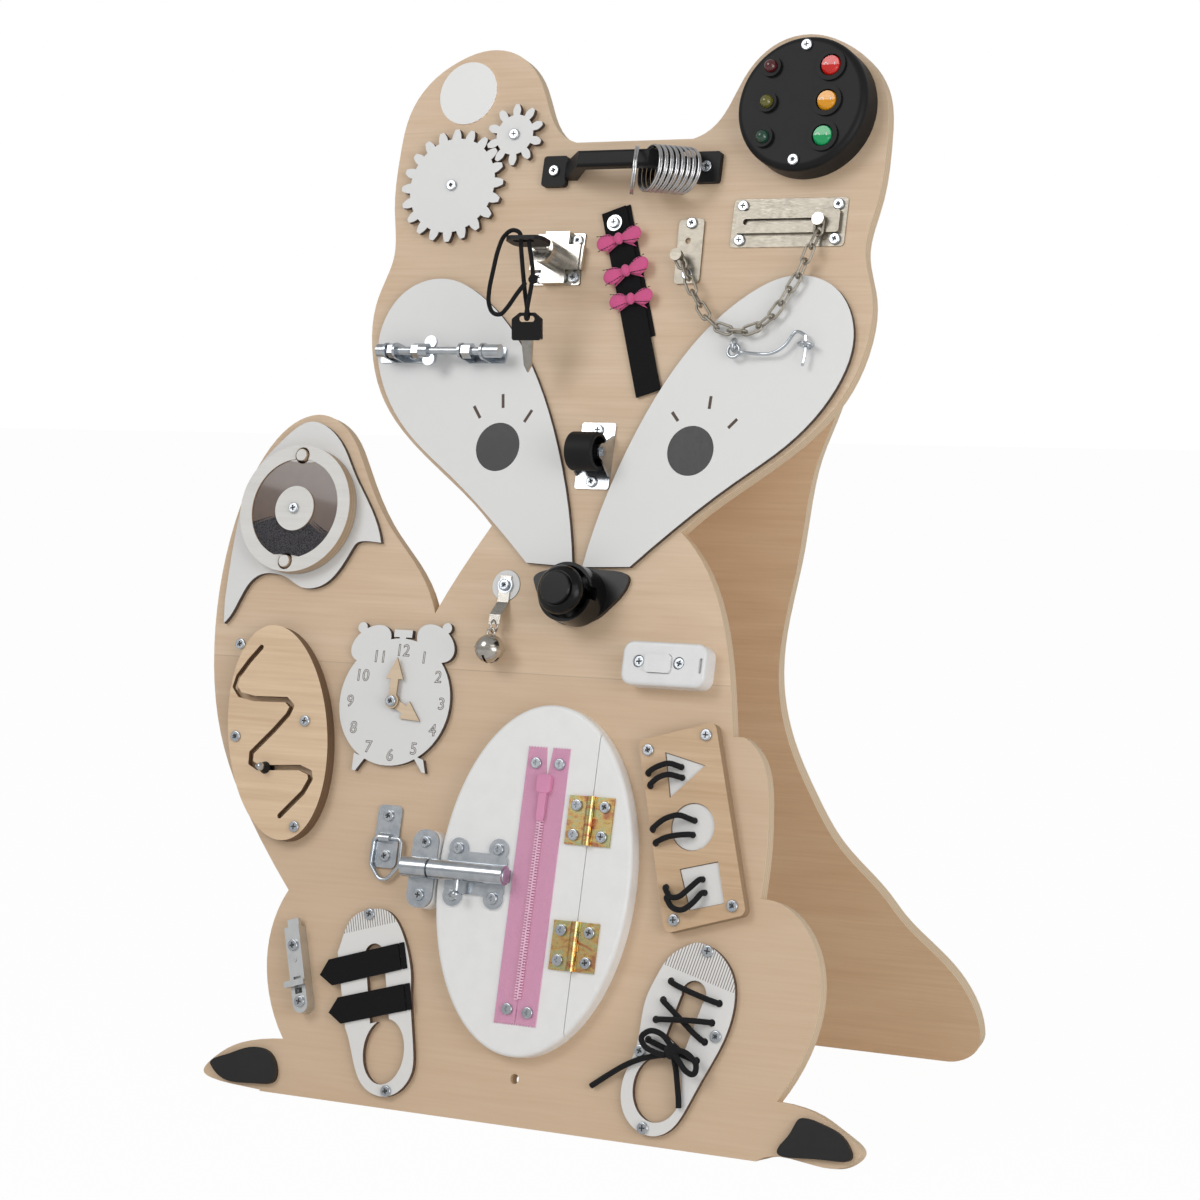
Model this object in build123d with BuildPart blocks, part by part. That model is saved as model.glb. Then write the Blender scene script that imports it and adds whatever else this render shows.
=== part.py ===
"""Wooden busy board: a play board shaped like a sitting fox, standing on a folding rear panel.

Frame: X to the right, Y to the back, Z up.  The origin is the middle of the front board's foot.
Every fitting is placed in board coordinates: u to the right, v up the board, w out of its face.
"""
import os
from math import asin, atan2, cos, degrees, hypot, pi, radians, sin, tan

from build123d import *

os.makedirs("parts", exist_ok=True)

BASE = (Align.CENTER, Align.CENTER, Align.MIN)   # a solid that stands on its place

# ---------------------------------------------------------------- driving dimensions, mm
lean = 15.3                    # the front board leans back from the vertical, degrees
board_thickness = 10.0
rear_thickness = 10.0
stand_depth = 319.3            # on the floor, from the board's front edge to the rear panel
fold_height = 580.0            # up the board, from its foot to the fold pins
laminate = 4.0                 # white and black overlay sheets
door_thickness = 12.0
running = 0.05                 # radial clearance of a running fit
air = 0.3                      # clearance between pieces that pass or lie side by side
bore_radius = 3.5              # tether hole through the board
bore_height = 32.8

shank_radius = 1.6             # wood screws
screw_bite = 8.0
head_radius = 4.2
head_height = 2.0
shank_gap = 0.2                # radial, in the holes of the fittings
shoulder_radius = 2.5          # of the pivot screws that pieces turn on

# ---------------------------------------------------------------- planes and helpers
half_foot = board_thickness / cos(radians(lean)) / 2
up = Vector(0, sin(radians(lean)), cos(radians(lean)))
outward = Vector(0, -cos(radians(lean)), sin(radians(lean)))
FRONT = Plane(origin=(0, -half_foot, 0), x_dir=(1, 0, 0), z_dir=outward)


def on_face(w=0.0):
    """A sketch plane parallel to the board, w in front of its face."""
    return FRONT.offset(w)


def across(u, v=0.0, w=0.0):
    """A sketch plane square to u: its x runs up the board, its y out of it."""
    return Plane(origin=FRONT.from_local_coords((u, v, w)), x_dir=up, z_dir=(1, 0, 0))


def along(v, u=0.0, w=0.0):
    """A sketch plane square to v: its x runs out of the board, its y to the right."""
    return Plane(origin=FRONT.from_local_coords((u, v, w)), x_dir=outward, z_dir=up)


def turned(u, v, angle=0.0, w=0.0):
    """A plane parallel to the board, its x turned `angle` degrees from u about (u, v)."""
    x_dir = FRONT.x_dir * cos(radians(angle)) + up * sin(radians(angle))
    return Plane(origin=FRONT.from_local_coords((u, v, w)), x_dir=x_dir, z_dir=outward)


def section(u, v=0.0, w=0.0):
    """A sketch plane seen from below: its x runs to the right, its y out of the board."""
    return Plane(origin=FRONT.from_local_coords((u, v, w)), x_dir=(1, 0, 0), z_dir=-up)


def normal_axis(u, v):
    """The line out of the board through (u, v)."""
    return Axis(FRONT.from_local_coords((u, v, 0)), outward)


def toward(u1, v1, u2, v2):
    """The angle, from u, of the way from the first point to the second, degrees."""
    return degrees(atan2(v2 - v1, u2 - u1))


def midpoint(first, second):
    return ((first[0] + second[0]) / 2, (first[1] + second[1]) / 2)


def export(label, *parts):
    """Write one node; parts that only touch each other stay solids of their own."""
    node = parts[0] if len(parts) == 1 else Compound(children=list(parts))
    node.label = label
    export_step(node, f"parts/{label}.step")


def wood_screw(seat, bite=screw_bite, radius=head_radius):
    """A pan-head screw with a cross recess, its head on `seat`, its shank in the board."""
    with BuildPart() as screw:
        with Locations((0, 0, seat)):
            Cylinder(radius, head_height, align=BASE)
        fillet(screw.edges().sort_by(Axis.Z)[-1], head_height * 0.45)
        with BuildSketch(Plane.XY.offset(seat + head_height)):
            Rectangle(radius * 0.9, radius * 0.24)
            Rectangle(radius * 0.24, radius * 0.9)
        extrude(amount=-head_height * 0.6, mode=Mode.SUBTRACT)
        with Locations((0, 0, -bite)):
            Cylinder(shank_radius, bite + seat, align=BASE)
    return screw.part


def pivot_screw(bottom, top, bite=screw_bite, radius=head_radius):
    """A wood screw with a smooth shoulder that a piece turns on, from `bottom` to `top`."""
    with BuildPart() as screw:
        add(wood_screw(top, bite, radius))
        with Locations((0, 0, bottom)):
            Cylinder(shoulder_radius, top - bottom, align=BASE)
    return screw.part


board_seats = []               # (u, v, seat) of every plain screw in the board


def screwed(seat, *points):
    """Note the screws of a fitting whose screwed face lies `seat` above the board."""
    board_seats.extend((u, v, seat) for u, v in points)
    return points


def clear_holes(points, bottom=0.0, depth=60.0, radius=shank_radius + shank_gap):
    """Cut round holes, square to the board, through the open part."""
    for u, v in points:
        with Locations(turned(u, v, 0, bottom).location):
            Cylinder(radius, depth, align=BASE, mode=Mode.SUBTRACT)


def rounded_path(points):
    """A cord's path: straight runs, each pair joined by the largest arc they allow."""
    points = [Vector(*point) for point in points]
    radii = []
    for before, corner, after in zip(points, points[1:], points[2:]):
        turn = radians((corner - before).get_angle(after - corner))
        shorter = min((corner - before).length, (after - corner).length)
        radii.append(0.45 * shorter / tan(turn / 2))
    print("cord radii", [round(radius, 1) for radius in radii])
    return FilletPolyline(*points, radius=radii)


def cord(points, diameter):
    """A round cord through points given in board coordinates."""
    places = [FRONT.from_local_coords(point) for point in points]
    with BuildPart() as tube:
        with BuildLine() as path:
            rounded_path(places)
        with BuildSketch(Plane(origin=path.line @ 0, z_dir=path.line % 0)):
            Circle(diameter / 2)
        sweep(path=path.line)
    length = path.wires()[0].length
    fill = tube.part.volume / (pi * diameter ** 2 / 4 * length)
    print("cord length", round(length, 1), "fill", round(fill, 4))
    return tube.part

# ---------------------------------------------------------------- where the fittings sit
handle_centre, handle_reach, handle_bar_w = (1.9, 692.0), 62.6, 28.0
handle_pad = 5.0
handle_screws = [(handle_centre[0] + side * handle_reach, handle_centre[1]) for side in (-1, 1)]
led_centre, led_radius, led_height = (140.3, 731.6), 49.5, 22.0
led_screws = [(led_centre[0], led_centre[1] + side * 42.2) for side in (-1, 1)]
lock_centre, lock_width, lock_height = (-49.5, 625.3), 40.0, 39.0
lock_screws = [(lock_centre[0] + 14.5 * i, lock_centre[1] + 14.0 * j)
               for i in (-1, 1) for j in (-1, 1)]
strap_top, strap_bottom = (-8.3, 662.0), (38.8, 524.5)
strap_screw = (-5.6, 651.7)
keeper_top, keeper_bottom = (56.8, 650.8), (58.0, 612.6)
slide_plate_screws = [(95.7, 663.0), (169.6, 663.0), (95.7, 637.7), (169.6, 637.7)]
slide_track_v, slide_track_left, slide_track_right = 650.4, 100.2, 158.2
rod_v, rod_w = 551.5, 18.0
left_bracket_screw, right_bracket_screw = (-159.0, rod_v), (-98.3, rod_v)
caster_centre, caster_screw_reach = (1.75, 478.4), 19.0
caster_screws = [(caster_centre[0], caster_centre[1] + side * caster_screw_reach)
                 for side in (-1, 1)]
nose_centre = (4.7, 374.5)
inline_centre, inline_length, inline_width = (83.6, 328.5), 65.0, 31.0
inline_screws = [(64.4, 329.5), (95.6, 329.5)]
clock_centre, dial_radius = (-137.0, 290.8), 47.0
maze_screws = [(-274.2, 325.9), (-207.3, 271.4), (-266.8, 256.2), (-203.9, 193.0)]
drum_centre, drum_radius = (-240.5, 430.3), 48.5
peg_reach, peg_radius = 40.6, 4.8
lashing_u, lashing_top, lashing_bottom = -128.9, 207.7, 178.6
bolt_v, bolt_w = 171.5, 22.0
bolt_keeper_u = -88.5
keeper_screws = [(bolt_keeper_u, bolt_v + side * 19.0) for side in (-1, 1)]
bolt_plate_centre = (-44.5, bolt_v)
bolt_plate_screws = [(-60.9, 188.3), (-28.3, 189.9), (-61.6, 154.8), (-28.3, 155.1)]
door_centre, door_rx, door_ry = (0.0, 171.5), 77.0, 124.0
door_split_u = 40.3
door_hinge_heights = (215.4, 127.9)
hinge_screw_reach, hinge_screw_spread = 11.1, 10.4
zip_u, zip_bottom, zip_top = 1.9, 69.5, 265.0
zip_screws = [(-7.3, 253.1), (11.6, 253.3), (-5.4, 80.1), (11.1, 79.0)]
lacing_corners = [(68.0, 274.8), (125.4, 291.4), (165.4, 161.9), (106.2, 143.6)]
lacing_screws = [(76.9, 268.6), (119.9, 281.9), (154.8, 166.8), (112.2, 153.3)]
left_shoe_screws = [(-133.0, 135.7), (-99.7, 12.4)]
right_shoe_screws = [(138.7, 134.9), (152.0, 78.5), (105.8, 11.5), (96.7, 62.8)]
latch_middle, latch_angle, latch_half = (-185.4, 90.0), 17.1, 31.75
latch_screw_reach = (18.0, -23.4)
bell_screw = (-58.2, 381.3)
big_gear_centre, small_gear_centre = (-147.2, 682.9), (-98.7, 721.2)
gear_module, big_teeth, small_teeth = 4.12, 20, 10
gear_bottom, gear_thickness = 1.0, 4.0
label_centre, label_radius = (-146.7, 756.7), 24.5
base_eye, catch_eye = (105.9, 558.4), (160.8, 559.0)
eye_centres, eye_radius = [(-78.5, 483.0), (78.5, 483.0)], 18.0

# ---------------------------------------------------------------- front board
head_right = [(48, 715), (68, 729), (86, 765), (108, 785.5), (135, 790), (160, 782), (180, 768),
              (195, 745), (200, 710), (198, 665), (193, 629), (202, 597), (202, 562), (187, 522),
              (147, 480), (101, 446), (77, 425)]
head_left = [(-u, v) for u, v in reversed(head_right)]
chest_right = [(77, 425), (97, 404), (119, 360), (132.5, 303), (136, 283)]
elbow_right = [(145, 283), (160, 269), (169, 236), (171.5, 205), (171, 174)]
haunch_right = [(171, 174), (191, 170), (216, 143), (223, 105), (216, 72), (200, 41)]
foot_right = [(200, 41), (230, 36), (252, 25), (264, 14), (259, 7.5), (230, 3), (190, 0)]
foot_left = [(-210, 0), (-249, 4), (-260, 9), (-252, 20), (-227, 34), (-195, 39.5)]
haunch_left = [(-195, 39.5), (-213, 72), (-219, 105), (-208, 147)]
tail = [(-208, 147), (-255, 203), (-289, 261), (-305, 322), (-308, 370), (-303, 420), (-284, 474),
        (-260, 500), (-238, 506), (-212, 494), (-193, 466), (-163, 421), (-137, 394), (-115, 358)]
chest_left = [(-115, 358), (-107, 374), (-90, 404), (-77, 425)]

with BuildPart() as front_board:
    with BuildSketch(FRONT):
        with BuildLine():
            Spline(*head_right)
            Spline(*chest_right)
            Line(chest_right[-1], elbow_right[0])
            Spline(*elbow_right)
            Spline(*haunch_right)
            Spline(*foot_right)
            Line(foot_right[-1], foot_left[0])
            Spline(*foot_left)
            Spline(*haunch_left)
            Spline(*tail)
            Spline(*chest_left)
            Spline(*head_left)
            Line(head_left[-1], head_right[0])
        make_face()
        with Locations((0, bore_height)):
            Circle(bore_radius, mode=Mode.SUBTRACT)
    extrude(amount=-board_thickness)
    split(bisect_by=Plane.XY, keep=Keep.TOP)

# ---------------------------------------------------------------- laminate overlays
cheek_inner = [(4, 396.5), (12.5, 436), (27, 480), (47, 524), (83, 575), (109, 597), (141, 610.5),
               (176, 601), (193.5, 566), (185, 530), (153, 489), (116, 461), (66, 420), (42, 398)]


nose_edge = [(-34, 385), (-28, 373), (-21, 364), (-9, 355.5), (9, 356), (20, 360), (30, 369),
             (38, 378), (42, 390), (20, 395), (3, 396.5), (-16, 395)]


def cheek(side):
    """One white cheek; side is 1 on the right and -1 on the left."""
    points = [(side * u, v) for u, v in cheek_inner]
    with BuildPart() as piece:
        with BuildSketch(FRONT):
            with BuildLine():
                Spline(*points)
                Line(points[-1], points[0])
            make_face()
            with Locations((side * eye_centres[1][0], eye_centres[1][1])):
                Circle(eye_radius + air / 2, mode=Mode.SUBTRACT)
            with BuildLine():
                Spline(*nose_edge, periodic=True)
            make_face(mode=Mode.SUBTRACT)
        extrude(amount=laminate)
    return piece.part


tail_panel_edge = [(-299, 360), (-297, 342), (-261, 382), (-230, 372), (-211, 376), (-191, 404),
                   (-167, 408.5), (-199, 461), (-217, 487), (-245, 499.5), (-268, 484),
                   (-289, 458), (-298, 412), (-299, 360)]
with BuildPart() as tail_panel:
    with BuildSketch(FRONT):
        with BuildLine():
            Spline(*tail_panel_edge[1:3], tangents=((0.6, 0.5), (1, 0)))
            Spline(*tail_panel_edge[2:7], tangents=((1, 0), (1, -0.1)))
            Spline(*tail_panel_edge[6:], tangents=((-0.3, 1), (0, -1)))
            Line(tail_panel_edge[0], tail_panel_edge[1])
        make_face()
    extrude(amount=laminate)

bell_centres = [(-163.5, 333.0), (-108.5, 335.5)]
with BuildPart() as clock_face:
    with BuildSketch(FRONT):
        with Locations(clock_centre):
            Circle(dial_radius)
        for (u, v), turn in zip(bell_centres, (32, -32)):
            with Locations(Location((u, v, 0), turn)):
                Ellipse(18.0, 12.0)
        with Locations(Location((-172.5, 344.5, 0)), Location((-100.5, 347.0, 0))):
            Circle(4.0)
        with Locations((-137.0, 341.5)):
            Rectangle(15.5, 5.5)
        with Locations((-137.0, 337.5)):
            Rectangle(5.5, 6.0)
        for near, far in (((-160.5, 248.5), (-165.5, 239.0)), ((-111.0, 250.0), (-106.0, 241.0))):
            with BuildLine():
                Polyline((near[0] - 5, near[1] + 3), far, (far[0] + 3, far[1] - 0.5),
                         (near[0] + 5, near[1]), close=True)
            make_face()
    extrude(amount=laminate)

with BuildPart() as label_disc:
    with BuildSketch(FRONT):
        with Locations(label_centre):
            Circle(label_radius)
    extrude(amount=1.0)

with BuildPart() as white_overlays:
    add(cheek(-1))
    add(cheek(1))
    add(tail_panel.part)
    add(clock_face.part)
    add(label_disc.part)

left_paw = [(-252, 14), (-240, 5.5), (-212, 5), (-196, 9), (-201, 27), (-222, 30), (-241, 22.5)]
right_paw = [(210, 16), (206, 9), (235, 7), (259, 12), (254, 21), (236, 30), (220, 32)]
with BuildPart() as black_overlays:
    with BuildSketch(FRONT):
        with Locations(*eye_centres):
            Circle(eye_radius)
        with BuildLine():
            Spline(*nose_edge, periodic=True)
        make_face()
        for paw in (left_paw, right_paw):
            with BuildLine():
                Spline(*paw, periodic=True)
            make_face()
    extrude(amount=laminate)

# ---------------------------------------------------------------- gears
pressure_angle = radians(25)
backlash = 0.4                 # taken off each tooth at the pitch circle


def involute(radius, base):
    flank = (radius ** 2 - base ** 2) ** 0.5 / base if radius > base else 0.0
    return flank - atan2(flank, 1.0)


def gear(teeth, tip, root, phase, centre):
    """A flat gear with involute teeth; `phase` is the direction of its first tooth, degrees."""
    pitch = gear_module * teeth / 2
    base = pitch * cos(pressure_angle)
    start = max(base, root)
    half_pitch_tooth = pi / (2 * teeth) - backlash / (2 * pitch) + involute(pitch, base)

    def flank(radius, middle, side):
        angle = middle + side * (half_pitch_tooth - involute(radius, base))
        return (radius * cos(angle), radius * sin(angle))

    radii = [start + (tip - start) * step / 3 for step in range(4)]
    with BuildPart() as wheel:
        with BuildSketch(turned(*centre, phase, gear_bottom)):
            with BuildLine():
                for tooth in range(teeth):
                    middle = 2 * pi * tooth / teeth
                    following = 2 * pi * (tooth + 1) / teeth
                    low = middle - half_pitch_tooth + involute(start, base)
                    high = middle + half_pitch_tooth - involute(start, base)
                    next_low = following - half_pitch_tooth + involute(start, base)
                    foot = (root * cos(low), root * sin(low))
                    heel = (root * cos(high), root * sin(high))
                    if root < start:
                        Line(foot, flank(start, middle, -1))
                    Spline(*[flank(radius, middle, -1) for radius in radii])
                    ThreePointArc(flank(tip, middle, -1), (tip * cos(middle), tip * sin(middle)),
                                  flank(tip, middle, 1))
                    Spline(*[flank(radius, middle, 1) for radius in reversed(radii)])
                    if root < start:
                        Line(flank(start, middle, 1), heel)
                    between = (high + next_low) / 2
                    ThreePointArc(heel, (root * cos(between), root * sin(between)),
                                  (root * cos(next_low), root * sin(next_low)))
            make_face()
            Circle(shoulder_radius + running, mode=Mode.SUBTRACT)
        extrude(amount=gear_thickness)
    return wheel.part


mesh_direction = toward(*big_gear_centre, *small_gear_centre)
big_gear_part = gear(big_teeth, 43.9, 36.6, mesh_direction, big_gear_centre)
small_gear_part = gear(small_teeth, 23.8, 15.5, mesh_direction + 180 + 180 / small_teeth,
                       small_gear_centre)
gear_top = gear_bottom + gear_thickness

# ---------------------------------------------------------------- pull handle and split rings
bar_height, bar_thickness = 12.5, 8.0
pad_width, pad_height = 20.0, 23.0
inner_end = handle_reach - pad_width / 2 + 2.0
ramp = 26.0
screwed(handle_pad, *handle_screws)
with BuildPart() as pull_handle:
    with BuildSketch(FRONT):
        with Locations(*handle_screws):
            RectangleRounded(pad_width, pad_height, 2.5)
    extrude(amount=handle_pad)
    low, high = handle_bar_w - bar_thickness / 2, handle_bar_w + bar_thickness / 2
    middle_u = handle_centre[0]
    with BuildSketch(section(middle_u, handle_centre[1] + bar_height / 2)):
        with BuildLine():
            Polyline((-inner_end - 3.5, 0), (-inner_end + ramp, high), (inner_end - ramp, high),
                     (inner_end + 3.5, 0), (inner_end - 9.5, 0), (inner_end - ramp - 3, low),
                     (-inner_end + ramp + 3, low), (-inner_end + 9.5, 0), close=True)
        make_face()
    extrude(amount=bar_height)
    fillet(pull_handle.edges().filter_by(Axis.X).sort_by(Axis.Y)[:2], 2.5)
    clear_holes(handle_screws)

ring_wire, ring_mean = 0.8, 16.8


def split_ring(u, w, turn, drop):
    """A double-coiled ring round the handle; `turn` swings its near side to the right."""
    plane = Plane(origin=FRONT.from_local_coords((u, handle_centre[1] - drop, w)),
                  x_dir=up, z_dir=FRONT.x_dir * cos(radians(turn)) - outward * sin(radians(turn)))
    with BuildPart(plane) as ring:
        with Locations((0, 0, -ring_wire * 0.95), (0, 0, ring_wire * 0.95)):
            Torus(ring_mean, ring_wire)
    return ring.part


piled_places = []              # (u, w, turn, drop) of the rings crowded down the right ramp
for step in range(8):
    share = step / 7
    piled_places.append((31.0 + 19.5 * share, 28.0 - 16.5 * share, 53 + 12 * share,
                         7.7 - 2.7 * share))
with BuildPart() as piled_rings:
    for place in piled_places:
        add(split_ring(*place))
loose_ring_part = split_ring(18.5, handle_bar_w, 28, 9.0)

# ---------------------------------------------------------------- lamp unit
cup_wall, cup_top, cup_round = 2.5, 3.0, 5.0
led_points = [(115.2, 758.4), (115.2, 732.2), (115.2, 706.4)]
switch_points = [(160.8, 757.8), (160.8, 732.0), (160.8, 706.3)]
lens_radius, led_bezel_radius, led_rim = 4.9, 7.5, 2.5
bezel_radius, bezel_height = 11.25, 1.8
switch_radius, switch_bottom, switch_opening = 9.7, 9.5, 8.0
rocker_radius, rocker_pivot, rocker_rise, rocker_tilt = 7.7, 20.3, 4.0, 18.0
rocker_pin, pin_half = 1.2, 8.7
battery_centre, battery_size = (139.5, 731.6), (20.0, 60.0)
lamp_bottom = 12.0             # the lamps' bodies end this far above the board
screwed(led_height, *led_screws)
with BuildPart() as led_cup:
    with BuildSketch(FRONT):
        with Locations(led_centre):
            Circle(led_radius)
    extrude(amount=led_height)
    fillet(led_cup.faces().sort_by(Axis(FRONT.origin, outward))[-1].edges(), cup_round)
    with BuildSketch(FRONT):
        with Locations(led_centre):
            Circle(led_radius - cup_wall)
        with Locations(*led_screws):
            Circle(4.0, mode=Mode.SUBTRACT)
    extrude(amount=led_height - cup_top, mode=Mode.SUBTRACT)
    clear_holes(led_screws)
    clear_holes(led_points, radius=lens_radius)
    clear_holes(switch_points, radius=switch_radius)
with BuildPart() as led_bezels:
    with BuildSketch(on_face(led_height)):
        with Locations(*led_points):
            Circle(led_bezel_radius)
            Circle(lens_radius, mode=Mode.SUBTRACT)
    extrude(amount=led_rim)
with BuildPart() as switch_bodies:
    with BuildSketch(on_face(led_height)):
        with Locations(*switch_points):
            Circle(bezel_radius)
    extrude(amount=bezel_height)
    with BuildSketch(on_face(switch_bottom)):
        with Locations(*switch_points):
            Circle(switch_radius)
    extrude(amount=led_height - switch_bottom)
    clear_holes(switch_points, rocker_pivot - rocker_radius - air, radius=switch_opening)
    for u, v in switch_points:
        with Locations(across(u, v, rocker_pivot).location):
            Cylinder(rocker_pin + running, 2 * pin_half + air, mode=Mode.SUBTRACT)


def rocker(u, v):
    """A round rocker, pressed at its upper half, on a pin that runs to the right."""
    half = rocker_radius + air
    raised = rocker_rise + half * tan(radians(rocker_tilt))
    with BuildPart() as cap:
        with BuildSketch(across(u, v, rocker_pivot)):
            with BuildLine():
                Polyline((-half, -3), (half, -3), (half, rocker_rise), (0, rocker_rise),
                         (-half, raised), close=True)
            make_face()
        extrude(amount=half, both=True)
        with Locations(across(u, v, rocker_pivot).location):
            Sphere(rocker_radius, mode=Mode.INTERSECT)
            Cylinder(rocker_pin, 2 * pin_half)
    return cap.part


with BuildPart() as led_lamps:
    with BuildSketch(on_face(lamp_bottom)):
        with Locations(*led_points):
            Circle(lens_radius)
    extrude(amount=led_height + led_rim - lamp_bottom)
    for u, v in led_points:
        with Locations(turned(u, v, 0, led_height + led_rim).location):
            Sphere(lens_radius)
with BuildPart() as battery_holder:
    with BuildSketch(FRONT):
        with Locations(battery_centre):
            RectangleRounded(*battery_size, 2.0)
    extrude(amount=15.0)

# ---------------------------------------------------------------- drawer lock and its keys
lock_body, lock_flange = 7.5, 1.5
lock_corner = (10.0, 10.0)
cylinder_radius, cylinder_top = 9.75, 29.0
plug_radius, plug_top = 6.5, 29.6
lock_bolt_length, lock_bolt_height, lock_bolt_thickness, lock_bolt_w = 15.0, 18.0, 4.4, 1.6
lock_bolt_out = 2.0
blade_bottom, blade_width, blade_thickness = 12.0, 8.6, 2.2
key_gap = 0.2
head_w, head_size, head_thickness, head_corner = 48.0, (31.0, 20.0), 3.0, 6.5
slot_w, slot_ends, slot_height = 53.1, (-59.0, -42.0), 5.0
lock_right = lock_centre[0] + lock_width / 2
screwed(lock_flange, *lock_screws)
with BuildPart() as lock_housing:
    with BuildSketch(FRONT):
        with Locations(lock_centre):
            RectangleRounded(lock_width, lock_height, 1.5)
    extrude(amount=lock_flange)
    with BuildSketch(on_face(lock_flange)):
        with Locations(lock_centre):
            Rectangle(lock_width, lock_height - 2 * lock_corner[1])
            Rectangle(lock_width - 2 * lock_corner[0], lock_height)
    extrude(amount=lock_body - lock_flange)
    with BuildSketch(on_face(lock_body)):
        with Locations(lock_centre):
            Circle(cylinder_radius)
    extrude(amount=cylinder_top - lock_body)
    clear_holes([lock_centre], lock_body, radius=plug_radius + running)
    with BuildSketch(on_face(lock_bolt_w - air)):
        with Locations((lock_right - lock_bolt_length / 2, lock_centre[1])):
            Rectangle(lock_bolt_length + 2 * lock_bolt_out, lock_bolt_height + 2 * air)
    extrude(amount=lock_bolt_thickness + 2 * air, mode=Mode.SUBTRACT)
    clear_holes(lock_screws)
with BuildPart() as lock_bolt:
    with BuildSketch(on_face(lock_bolt_w)):
        with Locations((lock_right + lock_bolt_out - lock_bolt_length / 2, lock_centre[1])):
            Rectangle(lock_bolt_length, lock_bolt_height)
    extrude(amount=lock_bolt_thickness)
with BuildPart() as lock_key:
    with BuildSketch(on_face(lock_body + 0.1)):
        with Locations(lock_centre):
            Circle(plug_radius)
    extrude(amount=plug_top - lock_body - 0.1)
    with BuildSketch(on_face(blade_bottom)):
        with Locations(lock_centre):
            Rectangle(blade_width + 2 * key_gap, blade_thickness + 2 * key_gap)
    extrude(amount=plug_top - blade_bottom, mode=Mode.SUBTRACT)
    with BuildSketch(on_face(blade_bottom)):
        with Locations(lock_centre):
            Rectangle(blade_width, blade_thickness)
    extrude(amount=head_w - blade_bottom)
    with BuildSketch(along(lock_centre[1] - head_thickness / 2, lock_centre[0], head_w)):
        RectangleRounded(head_size[1], head_size[0], head_corner)
        with Locations((slot_w - head_w, sum(slot_ends) / 2 - lock_centre[0])):
            SlotOverall(slot_ends[1] - slot_ends[0], slot_height, rotation=90,
                        mode=Mode.SUBTRACT)
    extrude(amount=head_thickness)

# the spare key hangs plumb from the cord, face to the front
SPARE = Plane(origin=FRONT.from_local_coords((-48.1, 571.4, 38.4)), x_dir=(1, 0, 0),
              z_dir=(0, -1, 0))
spare_slot_y = -1.4
with BuildPart() as spare_key:
    with BuildSketch(SPARE.offset(-head_thickness / 2)):
        with BuildLine():
            FilletPolyline((-11.9, -16.8), (12.2, -16.8), (12.2, -1.4), (6.1, 3.2), (-5.3, 3.2),
                           (-11.9, -1.4), radius=1.5, close=True)
        make_face()
        with Locations((0, spare_slot_y)):
            SlotOverall(14.0, 4.2, mode=Mode.SUBTRACT)
    extrude(amount=head_thickness)
    with BuildSketch(SPARE.offset(-blade_thickness / 2)):
        with BuildLine():
            Polyline((-4.1, -16.8), (4.9, -16.8), (3.6, -34.7), (0.7, -39.7), (-2.1, -34.7),
                     close=True)
        make_face()
    extrude(amount=blade_thickness)

key_cord_diameter = 3.2
# from the slot of the lock key's head down round the spare key's bar, back up through the
# slot, and round the loop to the knot
key_cord_route = [(-46.7, 626.0, 52.9), (-46.0, 620.6, 51.7), (-44.6, 613.4, 49.9),
                  (-43.4, 605.6, 47.7), (-43.0, 599.8, 46.2), (-43.5, 594.0, 45.6),
                  (-44.6, 585.4, 44.7), (-45.8, 577.3, 43.5), (-47.3, 569.1, 41.6),
                  (-48.9, 571.0, 34.5), (-50.0, 578.6, 36.7), (-50.9, 587.5, 40.3),
                  (-51.6, 600.9, 45.6), (-52.3, 612.6, 49.6), (-52.9, 621.6, 52.4),
                  (-53.3, 630.2, 53.6), (-61.5, 632.6, 53.6), (-68.2, 626.8, 53.2),
                  (-72.6, 616.4, 50.8), (-76.3, 603.1, 47.0), (-79.3, 592.0, 44.0),
                  (-80.3, 581.8, 41.4), (-77.1, 574.0, 39.4), (-69.6, 572.4, 39.4),
                  (-62.6, 578.4, 41.8), (-55.4, 585.8, 45.6), (-47.0, 593.8, 49.0)]
key_cord = cord(key_cord_route, key_cord_diameter)

# ---------------------------------------------------------------- fabric strap with bows
strap_angle = toward(*strap_top, *strap_bottom)
strap_length = hypot(strap_bottom[0] - strap_top[0], strap_bottom[1] - strap_top[1])
strap_width, webbing = 20.0, 1.5
strap_middle = midpoint(strap_top, strap_bottom)
under_shift, under_short = 3.0, 41.5
bow_points = [(1.3, 638.8), (10.4, 614.7), (17.3, 593.7)]
washer_radius, washer_thickness = 6.0, 1.0
screwed(2 * webbing + washer_thickness, strap_screw)
with BuildPart() as bow_strap:
    with BuildSketch(turned(*strap_middle, strap_angle, webbing)):
        Rectangle(strap_length, strap_width)
    extrude(amount=webbing)
    with BuildSketch(turned(*strap_middle, strap_angle, 0)):
        with Locations((-under_short / 2, under_shift)):
            Rectangle(strap_length - under_short, strap_width)
    extrude(amount=webbing)
    clear_holes([strap_screw])
with BuildPart() as bows:
    for u, v in bow_points:
        with BuildSketch(turned(u, v, 12, 2 * webbing)):
            with BuildLine():
                Polyline((-17.5, -7), (-17, 7.5), (-2.5, 3.5), (2.5, 3.5), (18.5, 9.5), (19, -6),
                         (2.5, -3.5), (-2.5, -3.5), close=True)
            make_face()
        extrude(amount=7.0)
        with BuildSketch(turned(u, v, 12, 2 * webbing)):
            RectangleRounded(6.5, 9.0, 1.5)
        extrude(amount=8.0)

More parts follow.
